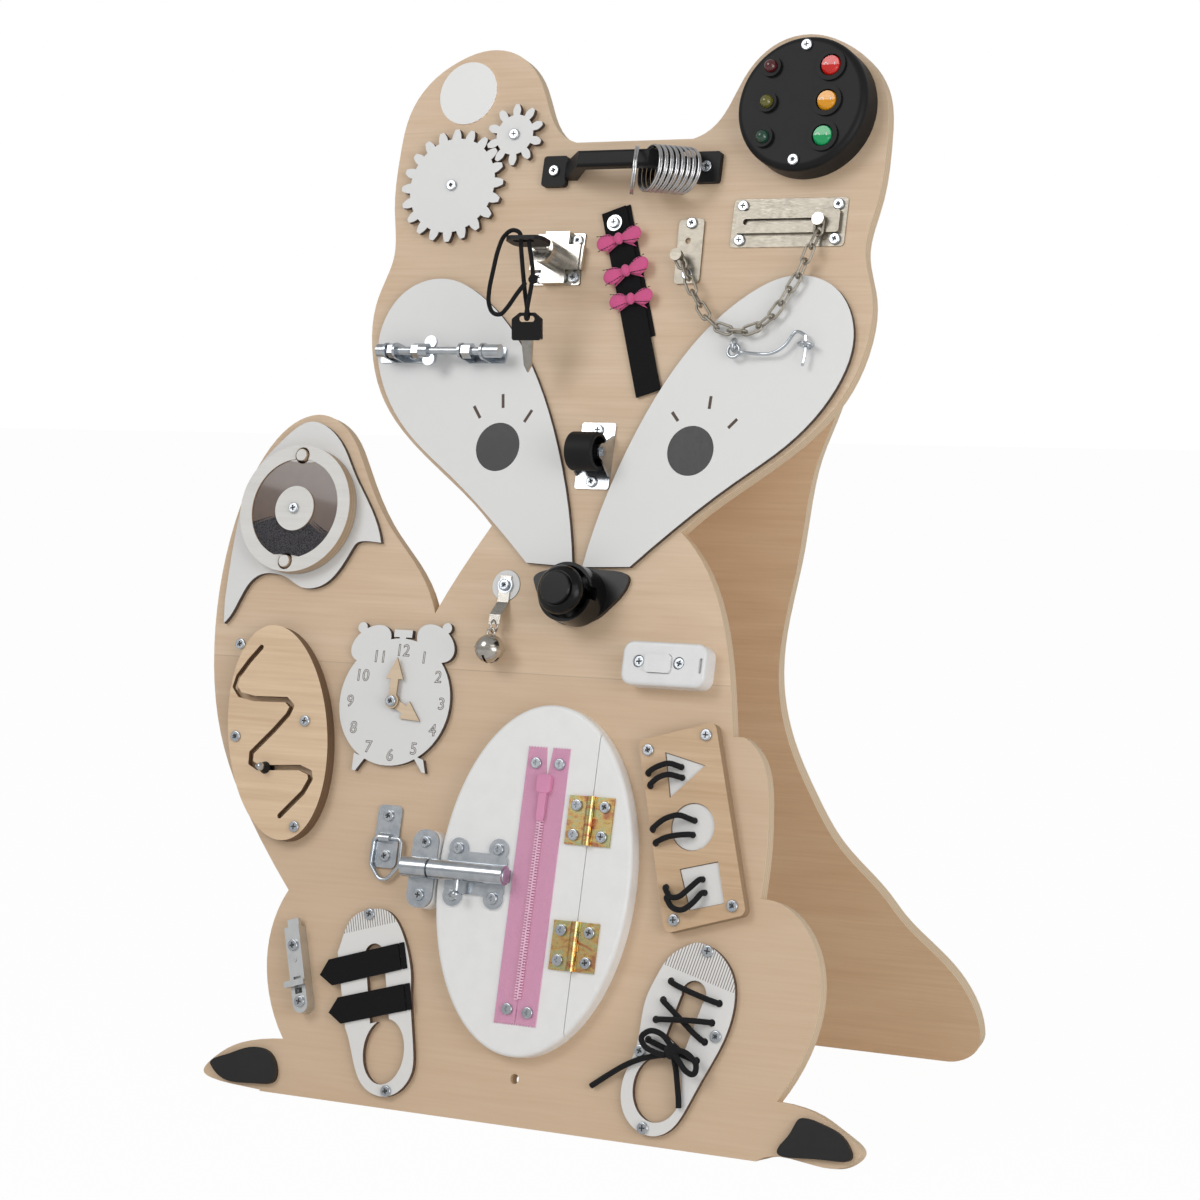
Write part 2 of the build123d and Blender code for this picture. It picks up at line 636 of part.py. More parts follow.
# ---------------------------------------------------------------- door chain
keeper_middle, keeper_size = (57.0, 630.0), (20.0, 48.0)
keeper_tilt = toward(*keeper_bottom, *keeper_top) - 90
keeper_thickness, keeper_knob, keeper_hole = 2.0, (51.7, 624.9), (55.1, 637.8)
stud_neck, stud_head, stud_flange = 2.0, 4.5, 5.7
plate_floor, plate_channel, plate_height = 1.0, 3.0, 4.0
slide_plate_middle = (132.4, 650.3)
knob_link_w, stud_link_w = 8.8, 5.6
chain_wire, link_length, link_width = 1.0, 16.5, 8.5
screwed(keeper_thickness, keeper_top, keeper_bottom)
screwed(plate_floor, *slide_plate_screws)
with BuildPart() as chain_keeper:
    with BuildSketch(turned(*keeper_middle, keeper_tilt)):
        RectangleRounded(*keeper_size, 3.0)
    extrude(amount=keeper_thickness)
    with Locations(turned(*keeper_knob, 0, keeper_thickness).location):
        Cylinder(stud_neck, knob_link_w, align=BASE)
    with Locations(turned(*keeper_knob, 0, knob_link_w + 1.5).location):
        Cylinder(stud_head, 2.0, align=BASE)
    clear_holes([keeper_top, keeper_bottom])
    clear_holes([keeper_hole], radius=2.2)
with BuildPart() as slide_plate:
    with BuildSketch(FRONT):
        with Locations(slide_plate_middle):
            RectangleRounded(88.3, 35.5, 3.0)
    extrude(amount=plate_floor)
    with BuildSketch(on_face(plate_floor)):
        with Locations(slide_plate_middle):
            RectangleRounded(80.0, 16.5, 2.0)
    extrude(amount=plate_height - plate_floor)
    track_middle = ((slide_track_left + slide_track_right) / 2, slide_track_v)
    track_run = slide_track_right - slide_track_left
    with BuildSketch(on_face(plate_floor)):
        with Locations(track_middle):
            SlotCenterToCenter(track_run, 2 * (stud_flange + air))
    extrude(amount=plate_channel - plate_floor, mode=Mode.SUBTRACT)
    with BuildSketch(on_face(plate_floor)):
        with Locations(track_middle):
            SlotCenterToCenter(track_run, 2 * stud_neck + 0.5)
    extrude(amount=plate_height, mode=Mode.SUBTRACT)
    clear_holes(slide_plate_screws)
with BuildPart() as chain_stud:
    with Locations(turned(slide_track_right, slide_track_v, 0, plate_floor + 0.2).location):
        Cylinder(stud_flange, 1.6, align=BASE)
        Cylinder(stud_neck, 7.0, align=BASE)
    with Locations(turned(slide_track_right, slide_track_v, 0, stud_link_w + 1.5).location):
        Cylinder(stud_head, 2.4, align=BASE)

neck_to_link = link_length / 2 - 2 * chain_wire - stud_neck - 0.1
knob_run = (0.565, -0.825)     # the way the chain leaves the keeper's knob
chain_route = [(slide_track_right, slide_track_v - neck_to_link, stud_link_w),
               (156.8, 634.0, 8.2), (154.4, 626.2, 9.4), (149.0, 610.1, 9.6), (141.6, 596.0, 9.6),
               (132.7, 581.1, 9.6), (118.1, 570.4, 9.6), (100.6, 569.2, 9.6), (87.1, 574.3, 9.6),
               (76.0, 586.1, 9.6), (67.5, 598.9, 9.8), (60.4, 612.4, 9.8),
               (keeper_knob[0] + knob_run[0] * neck_to_link,
                keeper_knob[1] + knob_run[1] * neck_to_link, knob_link_w)]


def chain_link(place, direction, edge_on):
    """One closed link of round wire lying along `direction`, flat or turned on edge."""
    plane = Plane(origin=place, x_dir=direction,
                  z_dir=direction.cross(outward) if edge_on else outward)
    bend = link_width / 2 - chain_wire
    half = (link_length - link_width) / 2
    with BuildPart() as link:
        with BuildLine(plane) as loop:
            Line((-half, bend), (half, bend))
            ThreePointArc((half, bend), (half + bend, 0), (half, -bend))
            Line((half, -bend), (-half, -bend))
            ThreePointArc((-half, -bend), (-half - bend, 0), (-half, bend))
        with BuildSketch(Plane(origin=loop.line @ 0, z_dir=loop.line % 0)):
            Circle(chain_wire)
        sweep(path=loop.line)
    return link.part


chain_line = Spline(*[FRONT.from_local_coords(point) for point in chain_route],
                    tangents=(-up, up * -knob_run[1] - FRONT.x_dir * knob_run[0]))
link_count = 16                # even, so that both end links lie flat on their posts
print("chain pitch", round(chain_line.length / link_count, 2), "most",
      link_length - 4 * chain_wire)
chain_links = [chain_link(chain_line @ (index / link_count), chain_line % (index / link_count),
                          index % 2 == 1) for index in range(link_count + 1)]

# ---------------------------------------------------------------- hook and eyes
eye_wire, base_ring, catch_ring, eye_w, eye_bite = 1.2, 4.2, 5.0, 10.0, 8.0
hook_pivot = (base_eye[0], base_eye[1] - base_ring)
hook_ring, hook_arm = 4.6, 55.1
with BuildPart() as hook_eyes:
    with Locations(Plane(origin=FRONT.from_local_coords((*base_eye, eye_w)), x_dir=up,
                         z_dir=(1, 0, 0)).location):
        Torus(base_ring, eye_wire)
    with Locations(Plane(origin=FRONT.from_local_coords((*catch_eye, eye_w)), x_dir=(1, 0, 0),
                         z_dir=up).location):
        Torus(catch_ring, eye_wire)
    with Locations(turned(*base_eye, 0, -eye_bite).location):
        Cylinder(shank_radius, eye_bite + eye_w - base_ring, align=BASE)
    with Locations(turned(*catch_eye, 0, -eye_bite).location):
        Cylinder(shank_radius, eye_bite + eye_w - catch_ring, align=BASE)


def on_hook_arc(angle):
    return (hook_pivot[0] + hook_arm * cos(radians(angle)),
            hook_pivot[1] + hook_arm * sin(radians(angle)))


with BuildPart() as cabin_hook:
    with BuildLine(on_face(eye_w)) as hook_line:
        Spline((hook_pivot[0] + hook_ring, hook_pivot[1] - 1.2), (123.7, 552.2), (138.2, 553.7),
               (147.8, 562.3), (155.0, 568.0), on_hook_arc(11.0),
               tangents=((1, -0.1), (sin(radians(11.0)), -cos(radians(11.0)))))
        ThreePointArc(on_hook_arc(11.0), on_hook_arc(0.0), on_hook_arc(-10.0))
    with BuildSketch(Plane(origin=hook_line.line @ 0, z_dir=hook_line.line % 0)):
        Circle(eye_wire)
    sweep(path=hook_line.line)
    with Locations(turned(*hook_pivot, 0, eye_w).location):
        Torus(hook_ring, eye_wire)

# ---------------------------------------------------------------- threaded rod with its nuts
rod_radius, ear_thickness, ear_width = 3.0, 2.0, 12.0
bracket_bottom, bracket_top = laminate, laminate + 2.0
rod_ends = (-181.0, -80.5)
left_base, left_ears = (-188.0, -141.0), (-176.5, -168.6)
right_base, right_ears = (-112.0, -81.0), (-114.3, -93.8)
hex_nuts = [(-173.0, 4.4), (-152.3, 5.6), (-109.6, 7.5)]
dome_nuts = [(-183.5, 7.0), (-91.8, 13.3)]
wing_left, wing_length, wing_hub = -146.6, 13.6, 5.5
screwed(bracket_top, left_bracket_screw, right_bracket_screw)
with BuildPart() as rod_brackets:
    for low, high in (left_base, right_base):
        with BuildSketch(on_face(bracket_bottom)):
            with Locations(((low + high) / 2, rod_v)):
                RectangleRounded(high - low, ear_width, 1.5)
        extrude(amount=bracket_top - bracket_bottom)
    for low in left_ears + (right_ears[0] + ear_thickness, right_ears[1]):
        with BuildSketch(across(low, rod_v, 0)):
            with Locations(((0, (bracket_bottom + rod_w) / 2))):
                Rectangle(ear_width, rod_w - bracket_bottom)
            with Locations((0, rod_w)):
                Circle(ear_width / 2)
                Circle(rod_radius + running, mode=Mode.SUBTRACT)
        extrude(amount=ear_thickness)
    clear_holes([left_bracket_screw, right_bracket_screw])
with BuildPart() as rod_and_nuts:
    with BuildSketch(across(rod_ends[0], rod_v, rod_w)):
        Circle(rod_radius)
    extrude(amount=rod_ends[1] - rod_ends[0])
    for left, length in hex_nuts:
        with BuildSketch(across(left, rod_v, rod_w)):
            RegularPolygon(5.8, 6)
        extrude(amount=length)
    for left, length in dome_nuts:
        with Locations(across(left, rod_v, rod_w).location):
            Cylinder(5.0, length, align=BASE)
with BuildPart() as wing_nut:
    with BuildSketch(across(wing_left, rod_v, rod_w)):
        Circle(wing_hub)
    extrude(amount=wing_length * 0.55)
    with BuildSketch(turned(wing_left + wing_length * 0.6, rod_v, 0, rod_w - 1.2)):
        with Locations((0, 6.4), (0, -6.4)):
            Ellipse(4.9, 4.8)
        Rectangle(6.0, 8.0)
    extrude(amount=2.4)
    with Locations(across(wing_left - 1, rod_v, rod_w).location):
        Cylinder(rod_radius + running, wing_length + 2, align=BASE, mode=Mode.SUBTRACT)

# ---------------------------------------------------------------- caster wheel
fork_left, fork_right, fork_thickness, fork_height = -12.0, 15.5, 1.5, 48.8
wheel_radius, wheel_left, wheel_length = 14.0, -9.25, 22.0
axle_w, axle_radius, fork_tip = 16.2, 2.0, 6.0
screwed(fork_thickness, *caster_screws)
with BuildPart() as caster_fork:
    with BuildSketch(FRONT):
        with Locations(caster_centre):
            RectangleRounded(fork_right - fork_left, fork_height, 2.0)
    extrude(amount=fork_thickness)
    for low in (fork_left, fork_right - fork_thickness):
        with BuildSketch(across(low, caster_centre[1], 0)):
            with BuildLine():
                Polyline((-16, 0), (16, 0), (fork_tip, axle_w), (-fork_tip, axle_w), close=True)
            make_face()
            with Locations((0, axle_w)):
                Circle(fork_tip)
        extrude(amount=fork_thickness)
    with BuildSketch(across(fork_left, caster_centre[1], axle_w)):
        Circle(axle_radius)
    extrude(amount=fork_right - fork_left)
    with BuildSketch(across(fork_right, caster_centre[1], axle_w)):
        Circle(3.4)
    extrude(amount=1.5)
    clear_holes(caster_screws)
with BuildPart() as caster_wheel:
    with BuildSketch(across(wheel_left, caster_centre[1], axle_w)):
        Circle(wheel_radius)
    extrude(amount=wheel_length)
    fillet(caster_wheel.edges(), 1.5)
    for low in (wheel_left, wheel_left + wheel_length - 8.0):
        with BuildSketch(across(low, caster_centre[1], axle_w)):
            Circle(11.0)
            Circle(5.0, mode=Mode.SUBTRACT)
        extrude(amount=8.0, mode=Mode.SUBTRACT)
    with Locations(across(wheel_left - 1, caster_centre[1], axle_w).location):
        Cylinder(axle_radius + running, wheel_length + 2, align=BASE, mode=Mode.SUBTRACT)

# ---------------------------------------------------------------- turning nose
hood_radius, hood_top, hood_floor, hood_wall = 21.5, 26.0, 7.0, 2.5
nose_boss, nose_stem, knob_bottom = 9.0, 5.0, 26.3
with BuildPart() as nose_housing:
    with BuildSketch(on_face(laminate)):
        with Locations(nose_centre):
            Circle(hood_radius)
    extrude(amount=hood_top - laminate)
    with BuildSketch(on_face(hood_floor)):
        with Locations(nose_centre):
            Circle(hood_radius - hood_wall)
            Circle(nose_boss, mode=Mode.SUBTRACT)
    extrude(amount=hood_top, mode=Mode.SUBTRACT)
    clear_holes([nose_centre], hood_floor, radius=nose_stem + running)
    with BuildSketch(on_face(hood_top - 8.0)):
        with Locations((nose_centre[0] + hood_radius, nose_centre[1])):
            Rectangle(9.0, 9.0)
    extrude(amount=10, mode=Mode.SUBTRACT)
with BuildPart() as nose_knob:
    with BuildSketch(section(*nose_centre)):
        with BuildLine():
            Polyline((0, hood_floor + 0.5), (nose_stem, hood_floor + 0.5),
                     (nose_stem, knob_bottom), (15.0, knob_bottom))
            Spline((15.0, knob_bottom), (17.7, 33.5), (13.0, 39.2))
            Polyline((13.0, 39.2), (12.0, 39.2), (12.0, 41.2), (11.2, 42.0), (0, 42.0),
                     (0, hood_floor + 0.5))
        make_face()
    revolve(axis=normal_axis(*nose_centre))

# ---------------------------------------------------------------- jingle bell
bell_strap_thickness, bell_strap_width = 1.2, 9.0
bell_pivot, bell_eye_w = (-58.5, 354.0), 9.6
bell_ring, bell_ring_wire = 4.6, 0.8
bell_centre, bell_w, bell_radius, bell_wall = (-57.5, 332.6), 13.5, 10.5, 1.0
bell_loop_v, bell_loop_w = 344.8, 12.5
screwed(bell_strap_thickness + washer_thickness, bell_screw)
with BuildPart() as bell_strap:
    strap_top_v, rise = bell_screw[1] + 7.0, bell_eye_w - bell_strap_thickness / 2
    with BuildSketch(across(bell_pivot[0] - bell_strap_width / 2, bell_pivot[1], 0)):
        with BuildLine():
            Polyline((strap_top_v - bell_pivot[1], 0), (14, 0), (3.5, rise), (-3, rise),
                     (-3, rise + bell_strap_thickness), (4.2, rise + bell_strap_thickness),
                     (14.8, bell_strap_thickness),
                     (strap_top_v - bell_pivot[1], bell_strap_thickness), close=True)
        make_face()
    extrude(amount=bell_strap_width)
    clear_holes([bell_screw])
    clear_holes([bell_pivot], rise - 1, 4.0, bell_ring_wire + air)
with BuildPart() as screw_washers:
    for (u, v), bottom in ((bell_screw, bell_strap_thickness), (strap_screw, 2 * webbing)):
        with Locations(turned(u, v, 0, bottom).location):
            Cylinder(washer_radius, washer_thickness, align=BASE)
    clear_holes([bell_screw, strap_screw])
with BuildPart() as jingle_bell:
    with Locations(Plane(origin=FRONT.from_local_coords((bell_pivot[0], bell_pivot[1] - bell_ring,
                                                         bell_eye_w)),
                         x_dir=up, z_dir=(1, 0, 0)).location):
        Torus(bell_ring, bell_ring_wire)
    with Locations(turned(bell_pivot[0], bell_loop_v, 0, bell_loop_w).location):
        Torus(2.8, 0.8)
    with Locations(along(bell_centre[1], bell_centre[0], bell_w).location):
        Sphere(bell_radius)
        Torus(bell_radius, 0.6)
        Sphere(bell_radius - bell_wall, mode=Mode.SUBTRACT)
        with Locations((0, 0, -bell_radius)):
            Box(2.0, 17.0, 14.0, mode=Mode.SUBTRACT)
            Box(17.0, 2.0, 14.0, mode=Mode.SUBTRACT)

# ---------------------------------------------------------------- inline cord switch
case_height, button_size, button_pocket = 16.0, (20.0, 13.0), 8.0
button_centre, button_bottom, button_top = (80.2, 328.5), 10.2, 18.0
inline_seat = 13.0
screwed(inline_seat, *inline_screws)
with BuildPart() as inline_switch_case:
    with BuildSketch(FRONT):
        with Locations(inline_centre):
            RectangleRounded(inline_length, inline_width, 8.0)
    extrude(amount=case_height)
    fillet(inline_switch_case.faces().sort_by(Axis(FRONT.origin, outward))[-1].edges(), 2.5)
    with BuildSketch(on_face(button_pocket)):
        with Locations(button_centre):
            RectangleRounded(button_size[0] + 2 * air, button_size[1] + 2 * air, 3.0)
    extrude(amount=case_height, mode=Mode.SUBTRACT)
    clear_holes(inline_screws)
    clear_holes(inline_screws, inline_seat, radius=head_radius + air)
    with BuildSketch(on_face(case_height - 3.0)):
        with Locations((inline_centre[0] + inline_length / 2 - 3.5, inline_centre[1])):
            SlotOverall(11.0, 2.4, rotation=90)
    extrude(amount=6, mode=Mode.SUBTRACT)
with BuildPart() as inline_button:
    with BuildSketch(on_face(button_bottom)):
        with Locations(button_centre):
            RectangleRounded(*button_size, 2.7)
    extrude(amount=button_top - button_bottom)

# ---------------------------------------------------------------- clock hands
hand_hub, hand_shaft, head_long, head_half = 5.5, 6.5, 16.0, 7.3
hour_w, minute_w, hand_thickness, hands_top = 4.6, 6.4, 1.5, 8.2
minute_length, hour_length, hour_angle = 32.4, 28.0, -28.0


def clock_hand(angle, length, bottom):
    """An arrow from the clock's centre, `angle` degrees from u."""
    with BuildPart() as hand:
        with BuildSketch(turned(*clock_centre, angle, bottom)):
            Circle(hand_hub)
            with Locations(((length - head_long) / 2, 0)):
                Rectangle(length - head_long + 1, hand_shaft)
            with BuildLine():
                Polyline((length - head_long, -head_half), (length, 0),
                         (length - head_long, head_half), close=True)
            make_face()
            Circle(shoulder_radius + running, mode=Mode.SUBTRACT)
        extrude(amount=hand_thickness)
    return hand.part


# ---------------------------------------------------------------- maze board and its figure
maze_centre, maze_radii, maze_angle, maze_height = (-230.9, 262.0), (81.8, 43.2), 105.3, 10.0
groove_half, undercut_half, undercut_w, groove_w = 2.05, 4.5, 3.0, 6.0
maze_path = [(-255.5, 324.3), (-264.2, 313.8), (-272.6, 301.4), (-274.3, 293.7), (-268.8, 287.7),
             (-254.9, 285.4), (-226.8, 286.3), (-220.9, 281.7), (-223.5, 275.3), (-233.4, 263.5),
             (-243.4, 252.9), (-251.0, 244.9), (-250.5, 237.5), (-243.2, 234.2), (-206.8, 236.7),
             (-197.5, 233.7), (-196.0, 228.8), (-200.9, 218.7), (-209.6, 209.4), (-218.3, 200.1)]
figure_point = (-237.0, 234.63)
screwed(maze_height, *maze_screws)
with BuildPart() as maze_board:
    with BuildSketch(turned(*maze_centre, maze_angle)):
        Ellipse(*maze_radii)
    extrude(amount=maze_height)
    for bottom, half in ((undercut_w, undercut_half), (groove_w, groove_half)):
        with BuildSketch(on_face(bottom)):
            for near, far in zip(maze_path, maze_path[1:]):
                with Locations(Location((*midpoint(near, far), 0), toward(*near, *far))):
                    SlotCenterToCenter(hypot(far[0] - near[0], far[1] - near[1]), 2 * half)
        extrude(amount=groove_w - undercut_w if half == undercut_half else maze_height,
                mode=Mode.SUBTRACT)
    clear_holes(maze_screws)
with BuildPart() as maze_figure:
    with Locations(turned(*figure_point, 0, undercut_w + 0.2).location):
        Cylinder(4.0, groove_w - undercut_w - 0.4, align=BASE)
        Cylinder(1.7, 9.0, align=BASE)
    with Locations(turned(*figure_point, 0, maze_height + air).location):
        Cone(4.6, 2.6, 5.5, align=BASE)
    with Locations(turned(*figure_point, 0, maze_height + 6.6).location):
        Sphere(3.0)
        for side in (-1, 1):
            with Locations((side * 1.8, 0, 2.6)):
                Cone(1.1, 0.4, 2.4)

# ---------------------------------------------------------------- turning drum on the tail
disc_bottom, disc_floor, ring_top = 5.0, 8.0, 15.0
window_reach, hub_reach, pocket_radius = 38.0, 17.0, 6.2
window_w, window_thickness, peg_top = 12.0, 2.0, 17.0
grain_top, grain_line, grain_angle = 11.6, -3.0, -19.0
peg_points = [(drum_centre[0] + 0.7, drum_centre[1] + peg_reach),
              (drum_centre[0] - 1.7, drum_centre[1] - peg_reach)]
with BuildPart() as drum_disc:
    with BuildSketch(on_face(disc_bottom)):
        with Locations(drum_centre):
            Circle(drum_radius)
    extrude(amount=ring_top - disc_bottom)
    with BuildSketch(on_face(disc_floor)):
        with Locations(drum_centre):
            Circle(window_reach)
            Circle(hub_reach, mode=Mode.SUBTRACT)
        with Locations(*peg_points):
            Circle(pocket_radius)
    extrude(amount=ring_top, mode=Mode.SUBTRACT)
    clear_holes([drum_centre], radius=shoulder_radius + running)
with BuildPart() as drum_pegs:
    with BuildSketch(on_face(disc_floor)):
        with Locations(*peg_points):
            Circle(peg_radius)
    extrude(amount=peg_top - disc_floor)
    fillet(drum_pegs.faces().sort_by(Axis(FRONT.origin, outward))[-2:].edges(), 1.0)
with BuildPart() as drum_window:
    with BuildSketch(on_face(window_w)):
        with Locations(drum_centre):
            Circle(window_reach)
            Circle(hub_reach, mode=Mode.SUBTRACT)
        with Locations(*peg_points):
            Circle(pocket_radius, mode=Mode.SUBTRACT)
    extrude(amount=window_thickness)
with BuildPart() as drum_grains:
    with BuildSketch(turned(*drum_centre, grain_angle, disc_floor)):
        Circle(window_reach)
        Circle(hub_reach, mode=Mode.SUBTRACT)
        with Locations((0, grain_line + window_reach)):
            Rectangle(3 * window_reach, 2 * window_reach, mode=Mode.SUBTRACT)
        for u, v in peg_points:
            spin = radians(-grain_angle)
            x, y = u - drum_centre[0], v - drum_centre[1]
            with Locations((x * cos(spin) - y * sin(spin), x * sin(spin) + y * cos(spin))):
                Circle(pocket_radius, mode=Mode.SUBTRACT)
    extrude(amount=grain_top - disc_floor)

# ---------------------------------------------------------------- lashing ring
lashing_size, lashing_thickness, lashing_middle = (20.0, 45.5), 2.0, (-128.8, 192.8)
ring_axis_v, ring_axis_w, lash_wire, saddle_width = 191.5, 3.8, 1.5, 9.0
screwed(lashing_thickness, (-129.4, lashing_top), (-128.3, lashing_bottom))
with BuildPart() as lashing_plate:
    with BuildSketch(FRONT):
        with Locations(lashing_middle):
            RectangleRounded(*lashing_size, 4.0)
    extrude(amount=lashing_thickness)
    with BuildSketch(across(lashing_u - saddle_width / 2, ring_axis_v, 0)):
        with Locations((0, ring_axis_w)):
            Circle(lash_wire + 1.9)
        with Locations((0, (lashing_thickness + ring_axis_w) / 2)):
            Rectangle(2 * lash_wire + 3.8, ring_axis_w - lashing_thickness)
        with Locations((0, ring_axis_w)):
            Circle(lash_wire + running, mode=Mode.SUBTRACT)
    extrude(amount=saddle_width)
    with Locations(across(lashing_u - saddle_width, ring_axis_v, ring_axis_w).location):
        Cylinder(lash_wire + running, 2 * saddle_width, align=BASE, mode=Mode.SUBTRACT)
    clear_holes([(-129.4, lashing_top), (-128.3, lashing_bottom)])
with BuildPart() as lashing_ring:
    with BuildLine(on_face(ring_axis_w)) as ring_line:
        FilletPolyline((-126.5, ring_axis_v), (-115.0, ring_axis_v), (-114.4, 172.0),
                       (-126.5, 157.6), (-138.6, 172.0), (-138.2, ring_axis_v), close=True,
                       radius=[0, 3.5, 7.0, 7.0, 7.0, 3.5])
    with BuildSketch(Plane(origin=ring_line.line @ 0.02, z_dir=ring_line.line % 0.02)):
        Circle(lash_wire)
    sweep(path=ring_line.line)

# ---------------------------------------------------------------- belly door, its hinges and bolt
door_edge = 3.0
knuckle_radius, pin_radius, leaf_thickness = 3.0, 1.5, 1.5
hinge_half_width, hinge_height, knuckle_count = 17.75, 34.7, 5
hinge_pin = (40.5, door_thickness + knuckle_radius)
leaf_gap, door_gap = 0.2, 0.6


def door_solid():
    """The whole belly oval before it is sawn into the door and the hinge strip."""
    with BuildPart() as oval:
        with BuildSketch(FRONT):
            with Locations(door_centre):
                Ellipse(door_rx, door_ry)
        extrude(amount=door_thickness)
        fillet(oval.faces().sort_by(Axis(FRONT.origin, outward))[-1].edges(), door_edge)
    return oval.part


with BuildPart() as door_leaf:
    add(door_solid())
    with BuildSketch(FRONT):
        with Locations((door_split_u - door_gap / 2, door_centre[1])):
            Rectangle(2 * door_rx, 3 * door_ry, align=(Align.MIN, Align.CENTER))
    extrude(amount=door_thickness, mode=Mode.SUBTRACT)
with BuildPart() as hinge_strip:
    add(door_solid())
    with BuildSketch(FRONT):
        with Locations((door_split_u + door_gap / 2, door_centre[1])):
            Rectangle(3 * door_rx, 3 * door_ry, align=(Align.MAX, Align.CENTER))
    extrude(amount=door_thickness, mode=Mode.SUBTRACT)


def knuckle_places(first):
    """The lower ends of every other knuckle, up from the middle of the hinge."""
    pitch = hinge_height / knuckle_count
    return [-hinge_height / 2 + pitch * index + leaf_gap / 2
            for index in range(first, knuckle_count, 2)]


def door_hinge_leaf(height, side):
    """A leaf with its knuckles: side -1 is on the door, 1 on the strip."""
    own = knuckle_places(1 if side < 0 else 0)
    knuckle_length = hinge_height / knuckle_count - leaf_gap
    cleared = knuckle_radius + leaf_gap
    plate_middle = hinge_pin[0] + side * (cleared + hinge_half_width) / 2
    with BuildPart() as leaf:
        with BuildSketch(on_face(door_thickness)):
            with Locations((plate_middle, height)):
                Rectangle(hinge_half_width - cleared, hinge_height - leaf_gap)
            for low in own:
                with Locations((hinge_pin[0] + side * cleared / 2,
                                height + low + knuckle_length / 2)):
                    Rectangle(cleared, knuckle_length)
        extrude(amount=leaf_thickness)
        for low in own:
            with Locations(along(height + low, *hinge_pin).location):
                Cylinder(knuckle_radius, knuckle_length, align=BASE)
        bore = pin_radius + (running if side < 0 else 0)
        with Locations(along(height - hinge_height, *hinge_pin).location):
            Cylinder(bore, 2 * hinge_height, align=BASE, mode=Mode.SUBTRACT)
        if side > 0:
            with Locations(along(height - hinge_height / 2, *hinge_pin).location):
                Cylinder(pin_radius, hinge_height, align=BASE)
        for spread in (-hinge_screw_spread, hinge_screw_spread):
            with Locations(turned(hinge_pin[0] + side * hinge_screw_reach,
                                  height + spread).location):
                Cylinder(shank_radius + shank_gap, 2 * door_thickness, align=BASE,
                         mode=Mode.SUBTRACT)
    return leaf.part


def hinge_screw_points(side):
    return [(hinge_pin[0] + side * hinge_screw_reach, height + spread)
            for height in door_hinge_heights for spread in (-hinge_screw_spread,
                                                            hinge_screw_spread)]


leaf_seat = door_thickness + leaf_thickness
with BuildPart() as door_hinge_moving_leaves:
    for height in door_hinge_heights:
        add(door_hinge_leaf(height, -1))
with BuildPart() as door_hinge_fixed_leaves:
    for height in door_hinge_heights:
        add(door_hinge_leaf(height, 1))

bolt_reach, bar_radius, barrel_inner, barrel_outer = (-96.5, -15.0), 5.2, 5.35, 7.0
barrel_reach, slot_reach, slot_low, slot_high = (-76.5, -16.0), (-56.2, -30.0), 20.6, 25.4
plate_low, plate_high = 12.0, 14.0
handle_u, handle_w, handle_pin_radius, handle_length = -53.7, 23.0, 1.9, 16.5
keeper_width, keeper_half, arch_outer, arch_inner = 21.0, 28.0, 7.3, 5.5
screwed(plate_high, *keeper_screws)
with BuildPart() as keeper_spacer:
    with BuildSketch(FRONT):
        with Locations((bolt_keeper_u, bolt_v)):
            RectangleRounded(keeper_width, 2 * keeper_half, 9.0)
        with Locations(door_centre):
            Ellipse(door_rx + 1.0, door_ry + 1.0, mode=Mode.SUBTRACT)
    extrude(amount=plate_low)
    clear_holes(keeper_screws)
with BuildPart() as bolt_keeper:
    with BuildSketch(on_face(plate_low)):
        with Locations((bolt_keeper_u, bolt_v)):
            RectangleRounded(keeper_width, 2 * keeper_half, 9.0)
    extrude(amount=plate_high - plate_low)
    with BuildSketch(across(bolt_keeper_u - keeper_width / 2, bolt_v, 0)):
        with Locations((0, bolt_w)):
            Circle(arch_outer)
        with Locations((0, (plate_high + bolt_w) / 2)):
            Rectangle(2 * arch_outer, bolt_w - plate_high)
        with Locations((0, bolt_w)):
            Circle(arch_inner, mode=Mode.SUBTRACT)
    extrude(amount=keeper_width)
    clear_holes(keeper_screws)
with BuildPart() as bolt_plate:
    with BuildSketch(on_face(plate_low)):
        with Locations(bolt_plate_centre):
            RectangleRounded(48.5, 30.0, 4.0)
        with Locations(*bolt_plate_screws):
            Circle(7.6)
    extrude(amount=plate_high - plate_low)
    with BuildSketch(across(barrel_reach[0], bolt_v, 0)):
        with Locations((0, bolt_w)):
            Circle(barrel_outer)
        with Locations((0, (plate_high + bolt_w) / 2)):
            Rectangle(9.0, bolt_w - plate_high)
        with Locations((0, bolt_w)):
            Circle(barrel_inner, mode=Mode.SUBTRACT)
    extrude(amount=barrel_reach[1] - barrel_reach[0])
    with BuildSketch(section((slot_reach[0] + slot_reach[1]) / 2, bolt_v)):
        with Locations((0, (slot_low + slot_high) / 2)):
            SlotOverall(slot_reach[1] - slot_reach[0], slot_high - slot_low)
    extrude(amount=2 * barrel_outer, mode=Mode.SUBTRACT)
    clear_holes(bolt_plate_screws)
with BuildPart() as bolt_bar:
    with BuildSketch(across(bolt_reach[0], bolt_v, bolt_w)):
        Circle(bar_radius)
    extrude(amount=bolt_reach[1] - bolt_reach[0])
    fillet(bolt_bar.edges(), 1.0)
    with BuildSketch(section(handle_u, bolt_v - 2.0, handle_w)):
        Circle(handle_pin_radius)
    extrude(amount=handle_length - 2.0)
    with Locations(along(bolt_v - handle_length, handle_u, handle_w).location):
        Sphere(3.2)

